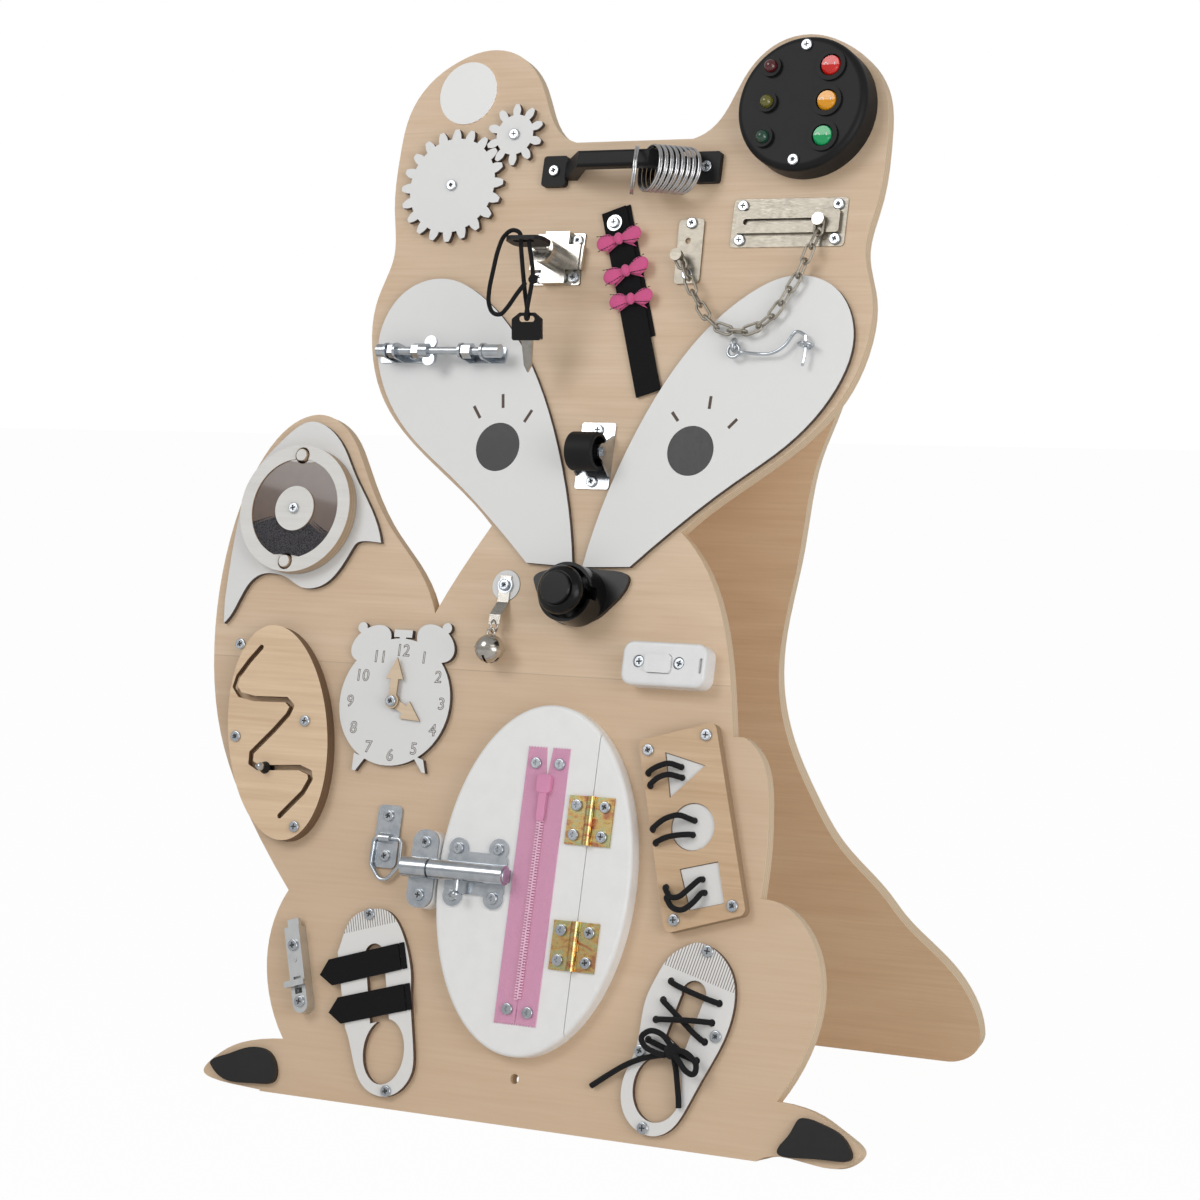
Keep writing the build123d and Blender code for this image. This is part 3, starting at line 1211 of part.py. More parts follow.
# ---------------------------------------------------------------- zip on the door
tape_width, tape_thickness, teeth_width, teeth_height = 33.0, 1.0, 5.0, 1.2
tape_top_w = door_thickness + tape_thickness
slider_v, slider_size, slider_low, slider_high = 239.0, (11.0, 13.0), 13.1, 16.2
tab_thickness, tab_width, tab_length = 1.2, 6.0, 22.0
with BuildPart() as zip_tape:
    with BuildSketch(on_face(door_thickness)):
        with Locations((zip_u - 0.4, (zip_bottom + zip_top) / 2)):
            Rectangle(tape_width, zip_top - zip_bottom)
    extrude(amount=tape_thickness)
    with BuildSketch(on_face(tape_top_w)):
        with Locations((zip_u, (zip_bottom + slider_v) / 2 + 6)):
            Rectangle(teeth_width, slider_v - zip_bottom)
    extrude(amount=teeth_height)
    clear_holes(zip_screws)
with BuildPart() as zip_slider:
    with BuildSketch(on_face(slider_low)):
        with Locations((zip_u, slider_v)):
            RectangleRounded(*slider_size, 2.5)
    extrude(amount=slider_high - slider_low)
    with BuildSketch(on_face(slider_low)):
        with Locations((zip_u, slider_v)):
            Rectangle(teeth_width + 2 * air, 2 * slider_size[1])
    extrude(amount=tape_top_w + teeth_height + air - slider_low, mode=Mode.SUBTRACT)
    with BuildSketch(on_face(tape_top_w + teeth_height + air)):
        with Locations((zip_u, slider_v - slider_size[1] / 2 - tab_length / 2 + 2)):
            RectangleRounded(tab_width, tab_length, 2.0)
    extrude(amount=tab_thickness)
door_screw_seats = ([(u, v, leaf_seat) for u, v in hinge_screw_points(-1)]
                    + [(u, v, plate_high) for u, v in bolt_plate_screws]
                    + [(u, v, tape_top_w) for u, v in zip_screws])
screwed(leaf_seat, *hinge_screw_points(1))

# ---------------------------------------------------------------- lacing plate, shapes, tethers
lacing_height, cutout_gap, insert_low, insert_high = 8.0, 0.4, 0.2, 6.8
tether_diameter, tether_hole = 4.0, 2.3
triangle = [(89.7, 268.1), (121.7, 260.9), (97.5, 236.6)]
square = [(111.5, 188.4), (139.9, 196.1), (148.3, 168.0), (122.7, 160.9)]
disc_centre, disc_radius = (117.7, 218.0), 16.5
tether_routes = {
    "triangle_upper": [(79.1, 252.3, 5.0), (79.1, 252.3, 10.8), (87.0, 256.9, 13.6),
                       (96.4, 260.4, 13.8), (103.2, 258.6, 11.0), (103.2, 258.6, 5.2)],
    "triangle_lower": [(81.8, 243.7, 5.0), (81.8, 243.7, 10.8), (88.9, 249.4, 13.8),
                       (97.0, 252.6, 14.0), (104.8, 251.3, 11.0), (104.8, 251.3, 5.2)],
    "disc_upper": [(87.8, 213.7, 5.0), (87.8, 213.7, 10.8), (98.3, 221.6, 14.4),
                   (109.4, 225.4, 15.0), (118.1, 222.5, 11.2), (118.1, 222.5, 5.2)],
    "disc_lower": [(91.3, 204.5, 5.0), (91.3, 204.5, 10.8), (100.8, 209.1, 13.2),
                   (110.1, 211.3, 13.4), (118.1, 212.6, 11.0), (118.1, 212.6, 5.2)],
    "square_upper": [(103.2, 175.2, 5.0), (103.2, 175.2, 10.8), (109.4, 167.9, 13.2),
                     (116.6, 168.9, 13.8), (124.2, 176.6, 13.2), (129.4, 182.9, 11.0),
                     (129.4, 182.9, 5.2)],
    "square_lower": [(105.0, 168.4, 5.0), (105.0, 168.4, 10.8), (112.2, 160.9, 13.6),
                     (120.0, 159.9, 14.0), (127.0, 165.4, 13.4), (132.2, 174.0, 11.0),
                     (132.2, 174.0, 5.2)],
}
tether_anchors = [route[0][:2] for route in tether_routes.values()]
screwed(lacing_height, *lacing_screws)
with BuildPart() as lacing_plate:
    with BuildSketch(FRONT):
        with BuildLine():
            FilletPolyline(*lacing_corners, radius=5.0, close=True)
        make_face()
        with BuildLine():
            Polyline(*triangle, close=True)
        make_face(mode=Mode.SUBTRACT)
        with BuildLine():
            Polyline(*square, close=True)
        make_face(mode=Mode.SUBTRACT)
        with Locations(disc_centre):
            Circle(disc_radius, mode=Mode.SUBTRACT)
    extrude(amount=lacing_height)
    clear_holes(lacing_screws)
    clear_holes(tether_anchors, radius=tether_hole)


def insert(corners, *names):
    """A lift-out shape that fits its cutout, with the holes of its tethers."""
    with BuildPart() as piece:
        with BuildSketch(on_face(insert_low)):
            if corners:
                with BuildLine():
                    Polyline(*corners, close=True)
                make_face()
                offset(amount=-cutout_gap)
            else:
                with Locations(disc_centre):
                    Circle(disc_radius - cutout_gap)
        extrude(amount=insert_high - insert_low)
        clear_holes([tether_routes[name][-1][:2] for name in names], radius=tether_hole)
    return piece.part


triangle_insert = insert(triangle, "triangle_upper", "triangle_lower")
disc_insert = insert(None, "disc_upper", "disc_lower")
square_insert = insert(square, "square_upper", "square_lower")
with BuildPart() as insert_tethers:
    for route in tether_routes.values():
        add(cord(route, tether_diameter))

# ---------------------------------------------------------------- shoes with straps and lace
left_shoe = [(-141, 53), (-134, 39), (-129, 27), (-121, 15), (-110, 9), (-98, 9), (-88, 15),
             (-81, 28), (-82, 43), (-87, 65), (-90, 80), (-92, 95), (-97, 111), (-104, 125),
             (-110, 133), (-118, 139), (-129, 140), (-140, 137), (-148, 131), (-154, 114),
             (-156, 106)]
right_shoe = [(132.3, 140), (148.3, 133.3), (160.6, 116.4), (162.6, 104.8), (158.6, 78.3),
              (144.6, 47), (136.1, 28), (126.9, 13.4), (115.5, 7.3), (103.1, 8.7), (92.9, 15.6),
              (86.6, 27.6), (86.8, 44.9), (91.9, 60), (94.4, 79.5), (96, 97.9), (102, 114.1),
              (111.2, 129.7), (122.4, 137.2)]
left_slot = [(-132.7, 107.9), (-117.2, 109.4), (-105.3, 62.7), (-120.6, 58.2)]
right_slot = [(122.4, 103.4), (140.9, 105.3), (129.6, 65.1), (114.5, 75.3)]
eyelets = [(113.6, 112.1), (109.4, 98.9), (105.6, 85.2), (101.7, 71.1),
           (151.6, 100.8), (147.8, 87.3), (144.1, 74.0), (139.7, 60.9)]
eyelet_radius, lace_diameter = 2.6, 4.0
strap_lines = {"upper": ((-102.8, 108.0), (-167.5, 88.3)),
               "lower": ((-94.0, 79.7), (-155.7, 62.2))}
shoe_strap_width, shoe_strap_bottom, shoe_strap_point = 19.0, 4.1, 9.0
strap_anchor_length, strap_anchor_gap = 4.0, 0.7    # the sewn end, behind the fold
screwed(laminate, *left_shoe_screws)
screwed(laminate, *right_shoe_screws)
with BuildPart() as shoe_panels:
    with BuildSketch(FRONT):
        with BuildLine():
            Spline(*left_shoe[:-1], left_shoe[-1])
            Line(left_shoe[-1], left_shoe[0])
        make_face()
        with BuildLine():
            Polyline(*left_slot, close=True)
        make_face(mode=Mode.SUBTRACT)
        with Locations((-124.9, 107.4)):
            Circle(7.8, mode=Mode.SUBTRACT)
        with Locations((-106.4, 39.7)):
            Ellipse(17.0, 23.3, mode=Mode.SUBTRACT)
        with BuildLine():
            Spline(*right_shoe, periodic=True)
        make_face()
        with BuildLine():
            Polyline(*right_slot, close=True)
        make_face(mode=Mode.SUBTRACT)
        with Locations((131.9, 105.0)):
            Circle(9.3, mode=Mode.SUBTRACT)
        with Locations((112.9, 38.6)):
            Ellipse(18.6, 22.5, mode=Mode.SUBTRACT)
        with Locations(*eyelets):
            Circle(eyelet_radius, mode=Mode.SUBTRACT)
    extrude(amount=laminate)
    clear_holes(left_shoe_screws + right_shoe_screws)


def shoe_strap(fixed_end, tip):
    """A pointed strap that lies on the shoe and lifts about its right end."""
    angle = toward(*fixed_end, *tip)
    length = hypot(tip[0] - fixed_end[0], tip[1] - fixed_end[1])
    half = shoe_strap_width / 2
    with BuildPart() as strap:
        with BuildSketch(turned(*fixed_end, angle, shoe_strap_bottom)):
            with BuildLine():
                Polyline((0, -half), (length - shoe_strap_point, -half), (length, 0),
                         (length - shoe_strap_point, half), (0, half), close=True)
            make_face()
        extrude(amount=webbing)
    return strap.part


with BuildPart() as strap_anchors:
    for fixed_end, tip in strap_lines.values():
        with BuildSketch(turned(*fixed_end, toward(*fixed_end, *tip), laminate)):
            with Locations((-strap_anchor_gap - strap_anchor_length / 2, 0)):
                Rectangle(strap_anchor_length, shoe_strap_width)
        extrude(amount=webbing)

lace_routes = [
    [(113.6, 112.1, 1.0), (114.2, 111.7, 6.6), (121.6, 108.9, 8.0), (132.7, 105.6, 8.2),
     (144.2, 102.6, 8.0), (151.0, 100.9, 6.6), (151.6, 100.8, 1.0)],
    [(109.4, 98.9, 1.0), (110.0, 98.5, 6.6), (117.0, 94.0, 8.0), (126.6, 86.8, 8.2),
     (136.8, 79.0, 8.0), (143.5, 74.4, 6.6), (144.1, 74.0, 1.0)],
    [(105.6, 85.2, 1.0), (106.2, 85.2, 6.6), (112.0, 85.6, 10.0), (122.0, 86.2, 12.6),
     (132.0, 86.9, 12.6), (141.6, 87.3, 9.6), (147.2, 87.4, 6.6), (147.8, 87.3, 1.0)],
    [(101.7, 71.1, 1.0), (102.3, 71.0, 6.6), (108.4, 69.2, 7.6), (115.8, 66.9, 7.8),
     (121.4, 65.6, 8.4)],
    [(139.7, 60.9, 1.0), (139.1, 61.0, 6.6), (134.6, 62.4, 7.2), (129.6, 63.9, 7.4),
     (125.6, 64.9, 8.2)],
    [(122.4, 69.0, 11.0), (116.6, 75.8, 12.9), (106.8, 78.0, 13.0), (99.4, 72.2, 12.8),
     (103.8, 65.8, 12.8), (112.0, 63.0, 13.0), (119.6, 61.8, 12.2)],
    [(126.4, 66.4, 11.4), (136.0, 65.6, 12.7), (144.4, 58.8, 12.6), (143.6, 50.6, 12.4),
     (136.4, 52.8, 12.4), (126.6, 63.2, 11.8)],
    [(121.0, 63.0, 8.4), (112.2, 61.4, 6.9), (98.5, 57.6, 6.6), (87.0, 51.8, 6.4),
     (74.9, 44.3, 4.0), (61.7, 35.0, 2.6)],
    [(124.0, 62.0, 8.0), (126.6, 54.0, 7.2), (128.8, 44.0, 6.8), (131.0, 34.0, 6.6),
     (131.8, 28.0, 6.6)],
]
lace_knot_place, lace_knot_radius = (123.4, 65.1, 9.6), 5.6
with BuildPart() as lace_knot:
    with Locations(turned(*lace_knot_place[:2], 0, lace_knot_place[2]).location):
        Sphere(lace_knot_radius)
lace_strands = [cord(route, lace_diameter) - lace_knot.part for route in lace_routes]
print("lace strands", [round(strand.volume) for strand in lace_strands])

# ---------------------------------------------------------------- spring latch
latch_width, latch_height, tongue_width, tongue_out = 12.3, 10.0, 9.4, 6.0
tongue_low, tongue_high, cavity_air = 3.2, 6.8, 0.2
lever_slot, lever_rest_y, lever_stem, lever_travel = (6.0, 12.5, -11.35), -10.0, (5.2, 3.0), 6.0
tab_size, tab_shift, tab_low_w, tab_high_w = (16.8, 4.5), -1.1, 11.0, 14.0
rivet_reach, rivet_radius = 7.2, 1.5
latch_face = turned(*latch_middle, latch_angle)
latch_screws = []
for reach in latch_screw_reach:
    place = FRONT.to_local_coords(latch_face.from_local_coords((0, reach, 0)))
    latch_screws.append((place.X, place.Y))
with BuildPart() as latch_case:
    with BuildSketch(latch_face):
        with Locations((0, latch_width / 4)):
            Rectangle(latch_width, 2 * latch_half - latch_width / 2)
        with Locations((0, -latch_half + latch_width / 2)):
            Circle(latch_width / 2)
    extrude(amount=latch_height)
    cavity_low = lever_rest_y - lever_stem[1] / 2 - lever_travel - 2.0
    with BuildSketch(latch_face.offset(tongue_low - cavity_air)):
        with Locations((0, (cavity_low + latch_half + 1) / 2)):
            Rectangle(tongue_width + 2 * cavity_air, latch_half + 1 - cavity_low)
    extrude(amount=tongue_high - tongue_low + 2 * cavity_air, mode=Mode.SUBTRACT)
    with BuildSketch(latch_face.offset(tongue_high)):
        with Locations((0, lever_slot[2])):
            Rectangle(lever_slot[0], lever_slot[1])
    extrude(amount=latch_height, mode=Mode.SUBTRACT)
    with BuildSketch(latch_face):
        with Locations((0, rivet_reach)):
            Circle(rivet_radius)
    extrude(amount=latch_height + 0.6)
    clear_holes(latch_screws)
with BuildPart() as latch_lever:
    bar_low = lever_rest_y - lever_stem[1] / 2 - 1.5
    with BuildSketch(latch_face.offset(tongue_low)):
        with Locations((0, (bar_low + latch_half + tongue_out) / 2)):
            Rectangle(tongue_width, latch_half + tongue_out - bar_low)
        window_low = rivet_reach - rivet_radius - 1.0
        window_high = latch_screw_reach[0] + shank_radius + lever_travel + 1.0
        with Locations((0, (window_low + window_high) / 2)):
            SlotOverall(window_high - window_low, 4.8, rotation=90, mode=Mode.SUBTRACT)
    extrude(amount=tongue_high - tongue_low)
    with BuildSketch(latch_face.offset(tongue_low)):
        with Locations((0, lever_rest_y)):
            Rectangle(*lever_stem)
    extrude(amount=tab_high_w - tongue_low)
    with BuildSketch(latch_face.offset(tab_low_w)):
        with Locations((tab_shift, lever_rest_y)):
            RectangleRounded(*tab_size, 1.5)
    extrude(amount=tab_high_w - tab_low_w)

# ---------------------------------------------------------------- folding rear panel
hinge_offset = 3.2             # of the fold pins, off both panels
floor_y = stand_depth - half_foot
fold_pin = FRONT.from_local_coords((0, fold_height, -board_thickness - hinge_offset))
floor_reach = hypot(fold_pin.Y - floor_y, fold_pin.Z)
rear_lean = atan2(floor_y - fold_pin.Y, fold_pin.Z) - asin(hinge_offset / floor_reach)
REAR = Plane(origin=(0, floor_y, 0), x_dir=(1, 0, 0), z_dir=(0, -cos(rear_lean), -sin(rear_lean)))
rear_length = REAR.to_local_coords(fold_pin).Y
print("rear panel leans", round(degrees(rear_lean), 2), "and reaches", round(rear_length, 1))
rear_foot = [(197, 0), (215, 4), (226, 14), (229, 22)]
rear_flank = [(229, 22), (226, 47), (209, 78), (173, 116), (163, 131), (130, 170), (111, 209),
              (98, 249), (94, 297), (99, 329), (122, 401), (146, 477), (156, 496), (168, 520)]
rear_corner = 30.0
butt_x, butt_width, butt_leaf, butt_knuckle = 95.0, 40.0, 20.0, 8.0
butt_count, butt_pin, butt_knuckle_radius = 5, 1.5, 3.0
butt_screw_reach, butt_screw_spread = 12.0, 12.0
rear_top = rear_length - 1.5
rear_bottom = -rear_thickness * tan(rear_lean)   # the floor then cuts the foot flat
with BuildPart() as rear_panel:
    with BuildSketch(REAR):
        for side in (-1, 1):
            with BuildLine():
                Spline(*[(side * x, y) for x, y in rear_foot])
                Spline(*[(side * x, y) for x, y in rear_flank])
                top = (side * (rear_flank[-1][0] + 12), rear_top - rear_corner)
                Line((side * rear_flank[-1][0], rear_flank[-1][1]), top)
                ThreePointArc(top, (top[0] - side * rear_corner * 0.29,
                                    rear_top - rear_corner * 0.29),
                              (top[0] - side * rear_corner, rear_top))
                Polyline((top[0] - side * rear_corner, rear_top), (0, rear_top),
                         (0, rear_bottom), (side * rear_foot[0][0], rear_bottom),
                         (side * rear_foot[0][0], 0))
            make_face()
    extrude(amount=-rear_thickness)
    split(bisect_by=Plane.XY, keep=Keep.TOP)


def butt_face(x, front):
    """At the fold pin, looking away from the panel the leaf is screwed to; y runs to the pin."""
    return Plane(origin=fold_pin + Vector(x, 0, 0), x_dir=(1, 0, 0),
                 z_dir=-outward if front else REAR.z_dir)


def butt_leaf_part(x, front):
    """One leaf of a fold hinge: `front` is the one on the front board's back."""
    base = butt_face(x, front).offset(-hinge_offset)
    own = range(0, butt_count, 2) if front else range(1, butt_count, 2)
    cleared = butt_knuckle_radius + leaf_gap
    with BuildPart() as leaf:
        with BuildSketch(base):
            with Locations((0, -(cleared + butt_leaf) / 2)):
                Rectangle(butt_width - leaf_gap, butt_leaf - cleared)
            for index in own:
                with Locations((-butt_width / 2 + (index + 0.5) * butt_knuckle,
                                -cleared / 2)):
                    Rectangle(butt_knuckle - leaf_gap, cleared)
        extrude(amount=leaf_thickness)
        for index in own:
            left = x - butt_width / 2 + index * butt_knuckle + leaf_gap / 2
            with Locations(Plane(origin=(left, fold_pin.Y, fold_pin.Z),
                                 z_dir=(1, 0, 0)).location):
                Cylinder(butt_knuckle_radius, butt_knuckle - leaf_gap, align=BASE)
        whole = Plane(origin=(x - butt_width / 2, fold_pin.Y, fold_pin.Z), z_dir=(1, 0, 0))
        with Locations(whole.location):
            Cylinder(butt_pin + (0 if front else running), butt_width, align=BASE,
                     mode=Mode.SUBTRACT)
            if front:
                Cylinder(butt_pin, butt_width, align=BASE)
        for plane in butt_screw_planes(x, front):
            with Locations(plane.location):
                Cylinder(shank_radius + shank_gap, 3 * leaf_thickness, mode=Mode.SUBTRACT)
    return leaf.part


def butt_screw_planes(x, front):
    """Planes on the panel's face under one leaf, one a screw."""
    base = butt_face(x, front).offset(-hinge_offset)
    return [Plane(origin=base.from_local_coords((spread, -butt_screw_reach, 0)),
                  x_dir=(1, 0, 0), z_dir=base.z_dir)
            for spread in (-butt_screw_spread, butt_screw_spread)]


with BuildPart() as fold_hinge_front:
    add(butt_leaf_part(-butt_x, True))
    add(butt_leaf_part(butt_x, True))
with BuildPart() as fold_hinge_rear:
    add(butt_leaf_part(-butt_x, False))
    add(butt_leaf_part(butt_x, False))
front_leaf_places = butt_screw_planes(-butt_x, True) + butt_screw_planes(butt_x, True)
rear_leaf_places = butt_screw_planes(-butt_x, False) + butt_screw_planes(butt_x, False)
leaf_screw_bite, leaf_screw_head = 7.0, 3.6
with BuildPart() as rear_leaf_screws:
    for plane in rear_leaf_places:
        with Locations(plane.location):
            add(wood_screw(leaf_thickness, leaf_screw_bite, leaf_screw_head))
with BuildPart() as front_leaf_screws:
    for plane in front_leaf_places:
        with Locations(plane.location):
            add(wood_screw(leaf_thickness, leaf_screw_bite, leaf_screw_head))

# a strap between the panels keeps them from spreading
spreader_height, spreader_tab = 120.0, 20.0


def behind_board(v, gap):
    place = FRONT.from_local_coords((0, v, -board_thickness - gap))
    return (place.Y, place.Z)


def before_rear(y, gap):
    place = REAR.from_local_coords((0, y, gap))
    return (place.Y, place.Z)


front_v = spreader_height / cos(radians(lean))
rear_y = spreader_height / cos(rear_lean)
with BuildPart() as spreader_strap:
    with BuildSketch(Plane.YZ):
        with BuildLine():
            Polyline(behind_board(front_v, 0.1), before_rear(rear_y, 0),
                     before_rear(rear_y + spreader_tab, 0),
                     before_rear(rear_y + spreader_tab, webbing),
                     before_rear(rear_y + webbing, webbing),
                     behind_board(front_v + webbing, 0.1 + webbing),
                     behind_board(front_v + spreader_tab, 0.1 + webbing),
                     behind_board(front_v + spreader_tab, 0.1), close=True)
        make_face()
    extrude(amount=strap_width / 2, both=True)

# ---------------------------------------------------------------- screws and their pilot holes
for point in latch_screws:
    screwed(latch_height, point)
pivots = [(big_gear_centre, 0.0, gear_top + 0.2), (small_gear_centre, 0.0, gear_top + 0.2),
          (clock_centre, laminate, hands_top), (drum_centre, laminate, ring_top + 0.2)]
with BuildPart() as board_screws:
    for u, v, seat in board_seats:
        with Locations(turned(u, v).location):
            add(wood_screw(seat))
    for (u, v), bottom, top in pivots:
        with Locations(turned(u, v).location):
            add(pivot_screw(bottom, top))
with BuildPart() as door_screws:
    for u, v, seat in door_screw_seats:
        with Locations(turned(u, v, 0, door_thickness).location):
            add(wood_screw(seat - door_thickness))
with BuildPart() as gear_washers:
    for centre in (big_gear_centre, small_gear_centre):
        with Locations(turned(*centre).location):
            Cylinder(6.0, gear_bottom - 0.1, align=BASE)
            Cylinder(shoulder_radius, gear_bottom, align=BASE, mode=Mode.SUBTRACT)

pilots = [(u, v) for u, v, seat in board_seats] + [centre for centre, low, high in pivots]
with BuildPart() as bored_front_board:
    add(front_board.part)
    clear_holes(pilots + [base_eye, catch_eye], -screw_bite, radius=shank_radius)
    for plane in front_leaf_places:
        with Locations(plane.location):
            Cylinder(shank_radius, 2 * leaf_screw_bite, mode=Mode.SUBTRACT)
with BuildPart() as bored_rear_panel:
    add(rear_panel.part)
    for plane in rear_leaf_places:
        with Locations(plane.location):
            Cylinder(shank_radius, 2 * leaf_screw_bite, mode=Mode.SUBTRACT)
with BuildPart() as bored_door_leaf:
    add(door_leaf.part)
    clear_holes([(u, v) for u, v, seat in door_screw_seats], door_thickness - screw_bite,
                radius=shank_radius)
with BuildPart() as bored_hinge_strip:
    add(hinge_strip.part)
    clear_holes(hinge_screw_points(1))
with BuildPart() as bored_white_overlays:
    add(white_overlays.part)
    clear_holes([left_bracket_screw, right_bracket_screw, base_eye, catch_eye, clock_centre,
                 drum_centre])

# ---------------------------------------------------------------- the files, one a node
export("front_board", bored_front_board.part)
export("white_overlays", bored_white_overlays.part)
export("black_overlays", black_overlays.part)
export("board_screws", board_screws.part, front_leaf_screws.part)
export("board_fittings", chain_keeper.part, slide_plate.part, caster_fork.part, hook_eyes.part,
       lashing_plate.part, bolt_keeper.part, screw_washers.part, gear_washers.part,
       fold_hinge_front.part)
export("fixed_webbing", bow_strap.part, bows.part, bell_strap.part, strap_anchors.part)
export("pull_handle", pull_handle.part)
export("piled_rings", piled_rings.part)
export("lamp_housing", led_cup.part, led_bezels.part, switch_bodies.part)
export("lamp_module", led_lamps.part, battery_holder.part)
export("lock_housing", lock_housing.part)
export("door_chain", *chain_links)
export("threaded_rod", rod_brackets.part, rod_and_nuts.part)
export("nose_housing", nose_housing.part)
export("inline_switch_case", inline_switch_case.part)
export("maze_board", maze_board.part)
export("belly_strip", bored_hinge_strip.part, keeper_spacer.part)
export("strip_hinge_leaves", door_hinge_fixed_leaves.part)
export("lacing_plate", lacing_plate.part)
export("insert_tethers", insert_tethers.part)
export("shoe_panels", shoe_panels.part)
export("shoe_lace", *lace_strands, lace_knot.part)
export("latch_case", latch_case.part)
export("rear_panel", bored_rear_panel.part)
export("rear_hinge_leaves", fold_hinge_rear.part, rear_leaf_screws.part)
export("spreader_strap", spreader_strap.part)
export("big_gear", big_gear_part)
export("small_gear", small_gear_part)
export("loose_ring", loose_ring_part)
export("red_rocker", rocker(*switch_points[0]))
export("amber_rocker", rocker(*switch_points[1]))
export("green_rocker", rocker(*switch_points[2]))
export("lock_key", lock_key.part)
export("lock_bolt", lock_bolt.part)
export("spare_key", spare_key.part)
export("key_cord", key_cord)
export("chain_stud", chain_stud.part)
export("cabin_hook", cabin_hook.part)
export("wing_nut", wing_nut.part)
export("caster_wheel", caster_wheel.part)
export("nose_knob", nose_knob.part)
export("jingle_bell", jingle_bell.part)
export("inline_button", inline_button.part)
export("spinning_drum", drum_disc.part, drum_pegs.part, drum_window.part, drum_grains.part)
export("maze_figure", maze_figure.part)
export("minute_hand", clock_hand(90.0, minute_length, minute_w))
export("hour_hand", clock_hand(hour_angle, hour_length, hour_w))
export("lashing_ring", lashing_ring.part)
export("door_leaf", bored_door_leaf.part)
export("door_hinge_leaves", door_hinge_moving_leaves.part)
export("bolt_plate", bolt_plate.part, door_screws.part)
export("zip_tape", zip_tape.part)
export("bolt_bar", bolt_bar.part)
export("zip_slider", zip_slider.part)
export("upper_shoe_strap", shoe_strap(*strap_lines["upper"]))
export("lower_shoe_strap", shoe_strap(*strap_lines["lower"]))
export("latch_lever", latch_lever.part)
export("triangle_insert", triangle_insert)
export("disc_insert", disc_insert)
export("square_insert", square_insert)
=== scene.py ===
"""Looks of the wooden busy board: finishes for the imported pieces, and the soft straps, bows,
cords, dial numbers, zip teeth and screw recesses.

Places are board coordinates in millimetres: u to the right, v up the board, w out of its face.
BOARD takes them to metres in the model's frame.
"""
from math import atan2, cos, hypot, pi, radians, sin

import bmesh
import bpy
from mathutils import Matrix, Vector


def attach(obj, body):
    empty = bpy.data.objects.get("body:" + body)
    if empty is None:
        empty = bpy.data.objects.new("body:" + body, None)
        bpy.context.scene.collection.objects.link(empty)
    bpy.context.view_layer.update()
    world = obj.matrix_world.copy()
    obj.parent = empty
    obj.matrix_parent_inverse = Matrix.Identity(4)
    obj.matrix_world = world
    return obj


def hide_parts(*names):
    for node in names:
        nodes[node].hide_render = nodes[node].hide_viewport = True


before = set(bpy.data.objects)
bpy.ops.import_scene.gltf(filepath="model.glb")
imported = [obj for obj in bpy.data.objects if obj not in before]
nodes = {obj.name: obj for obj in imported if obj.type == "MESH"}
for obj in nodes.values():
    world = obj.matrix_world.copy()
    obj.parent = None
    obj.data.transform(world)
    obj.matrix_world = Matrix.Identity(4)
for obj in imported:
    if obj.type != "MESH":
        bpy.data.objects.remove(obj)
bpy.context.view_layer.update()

# ---------------------------------------------------------------- places
LEAN, REAR_LEAN = radians(15.3), radians(-15.12)
BOARD_THICKNESS = 10.0
HALF_FOOT = BOARD_THICKNESS / cos(LEAN) / 2
REAR_FOOT = 319.3 - HALF_FOOT
MILLIMETRES = Matrix.Scale(0.001, 4)
BOARD = MILLIMETRES @ Matrix(((1, 0, 0, 0),
                              (0, sin(LEAN), -cos(LEAN), -HALF_FOOT),
                              (0, cos(LEAN), sin(LEAN), 0),
                              (0, 0, 0, 1)))
FROM_BOARD = BOARD.inverted()
SEAM_HEIGHT = 318.0            # of the joint between the two veneer sheets
DRUM = (-240.5, 430.3)
WINDOW_INNER, WINDOW_OUTER, WINDOW_FLOOR = 20.5, 36.4, 7.5
SEEDS_TOP, SEEDS_SLOPE = 418.0, 0.1
LABEL, LABEL_RADIUS = (-146.7, 756.7), 24.5


def turned(u, v, angle, w=0.0):
    """The place (u, v, w) on the board, turned `angle` degrees about its normal."""
    return Matrix.Translation((u, v, w)) @ Matrix.Rotation(radians(angle), 4, "Z")


# ---------------------------------------------------------------- shader maths
class Value:
    """A node's output that takes part in sums: each sum adds its Math node."""

    def __init__(self, finish, socket):
        self.finish, self.socket = finish, socket

    def sum(self, operation, first, second=0.0):
        return self.finish.node("Math", {"operation": operation}, {0: first, 1: second})

    def __add__(self, other):
        return self.sum("ADD", self, other)

    def __sub__(self, other):
        return self.sum("SUBTRACT", self, other)

    def __rsub__(self, other):
        return self.sum("SUBTRACT", other, self)

    def __mul__(self, other):
        return self.sum("MULTIPLY", self, other)

    def __gt__(self, other):
        return self.sum("GREATER_THAN", self, other)

    def __lt__(self, other):
        return self.sum("LESS_THAN", self, other)


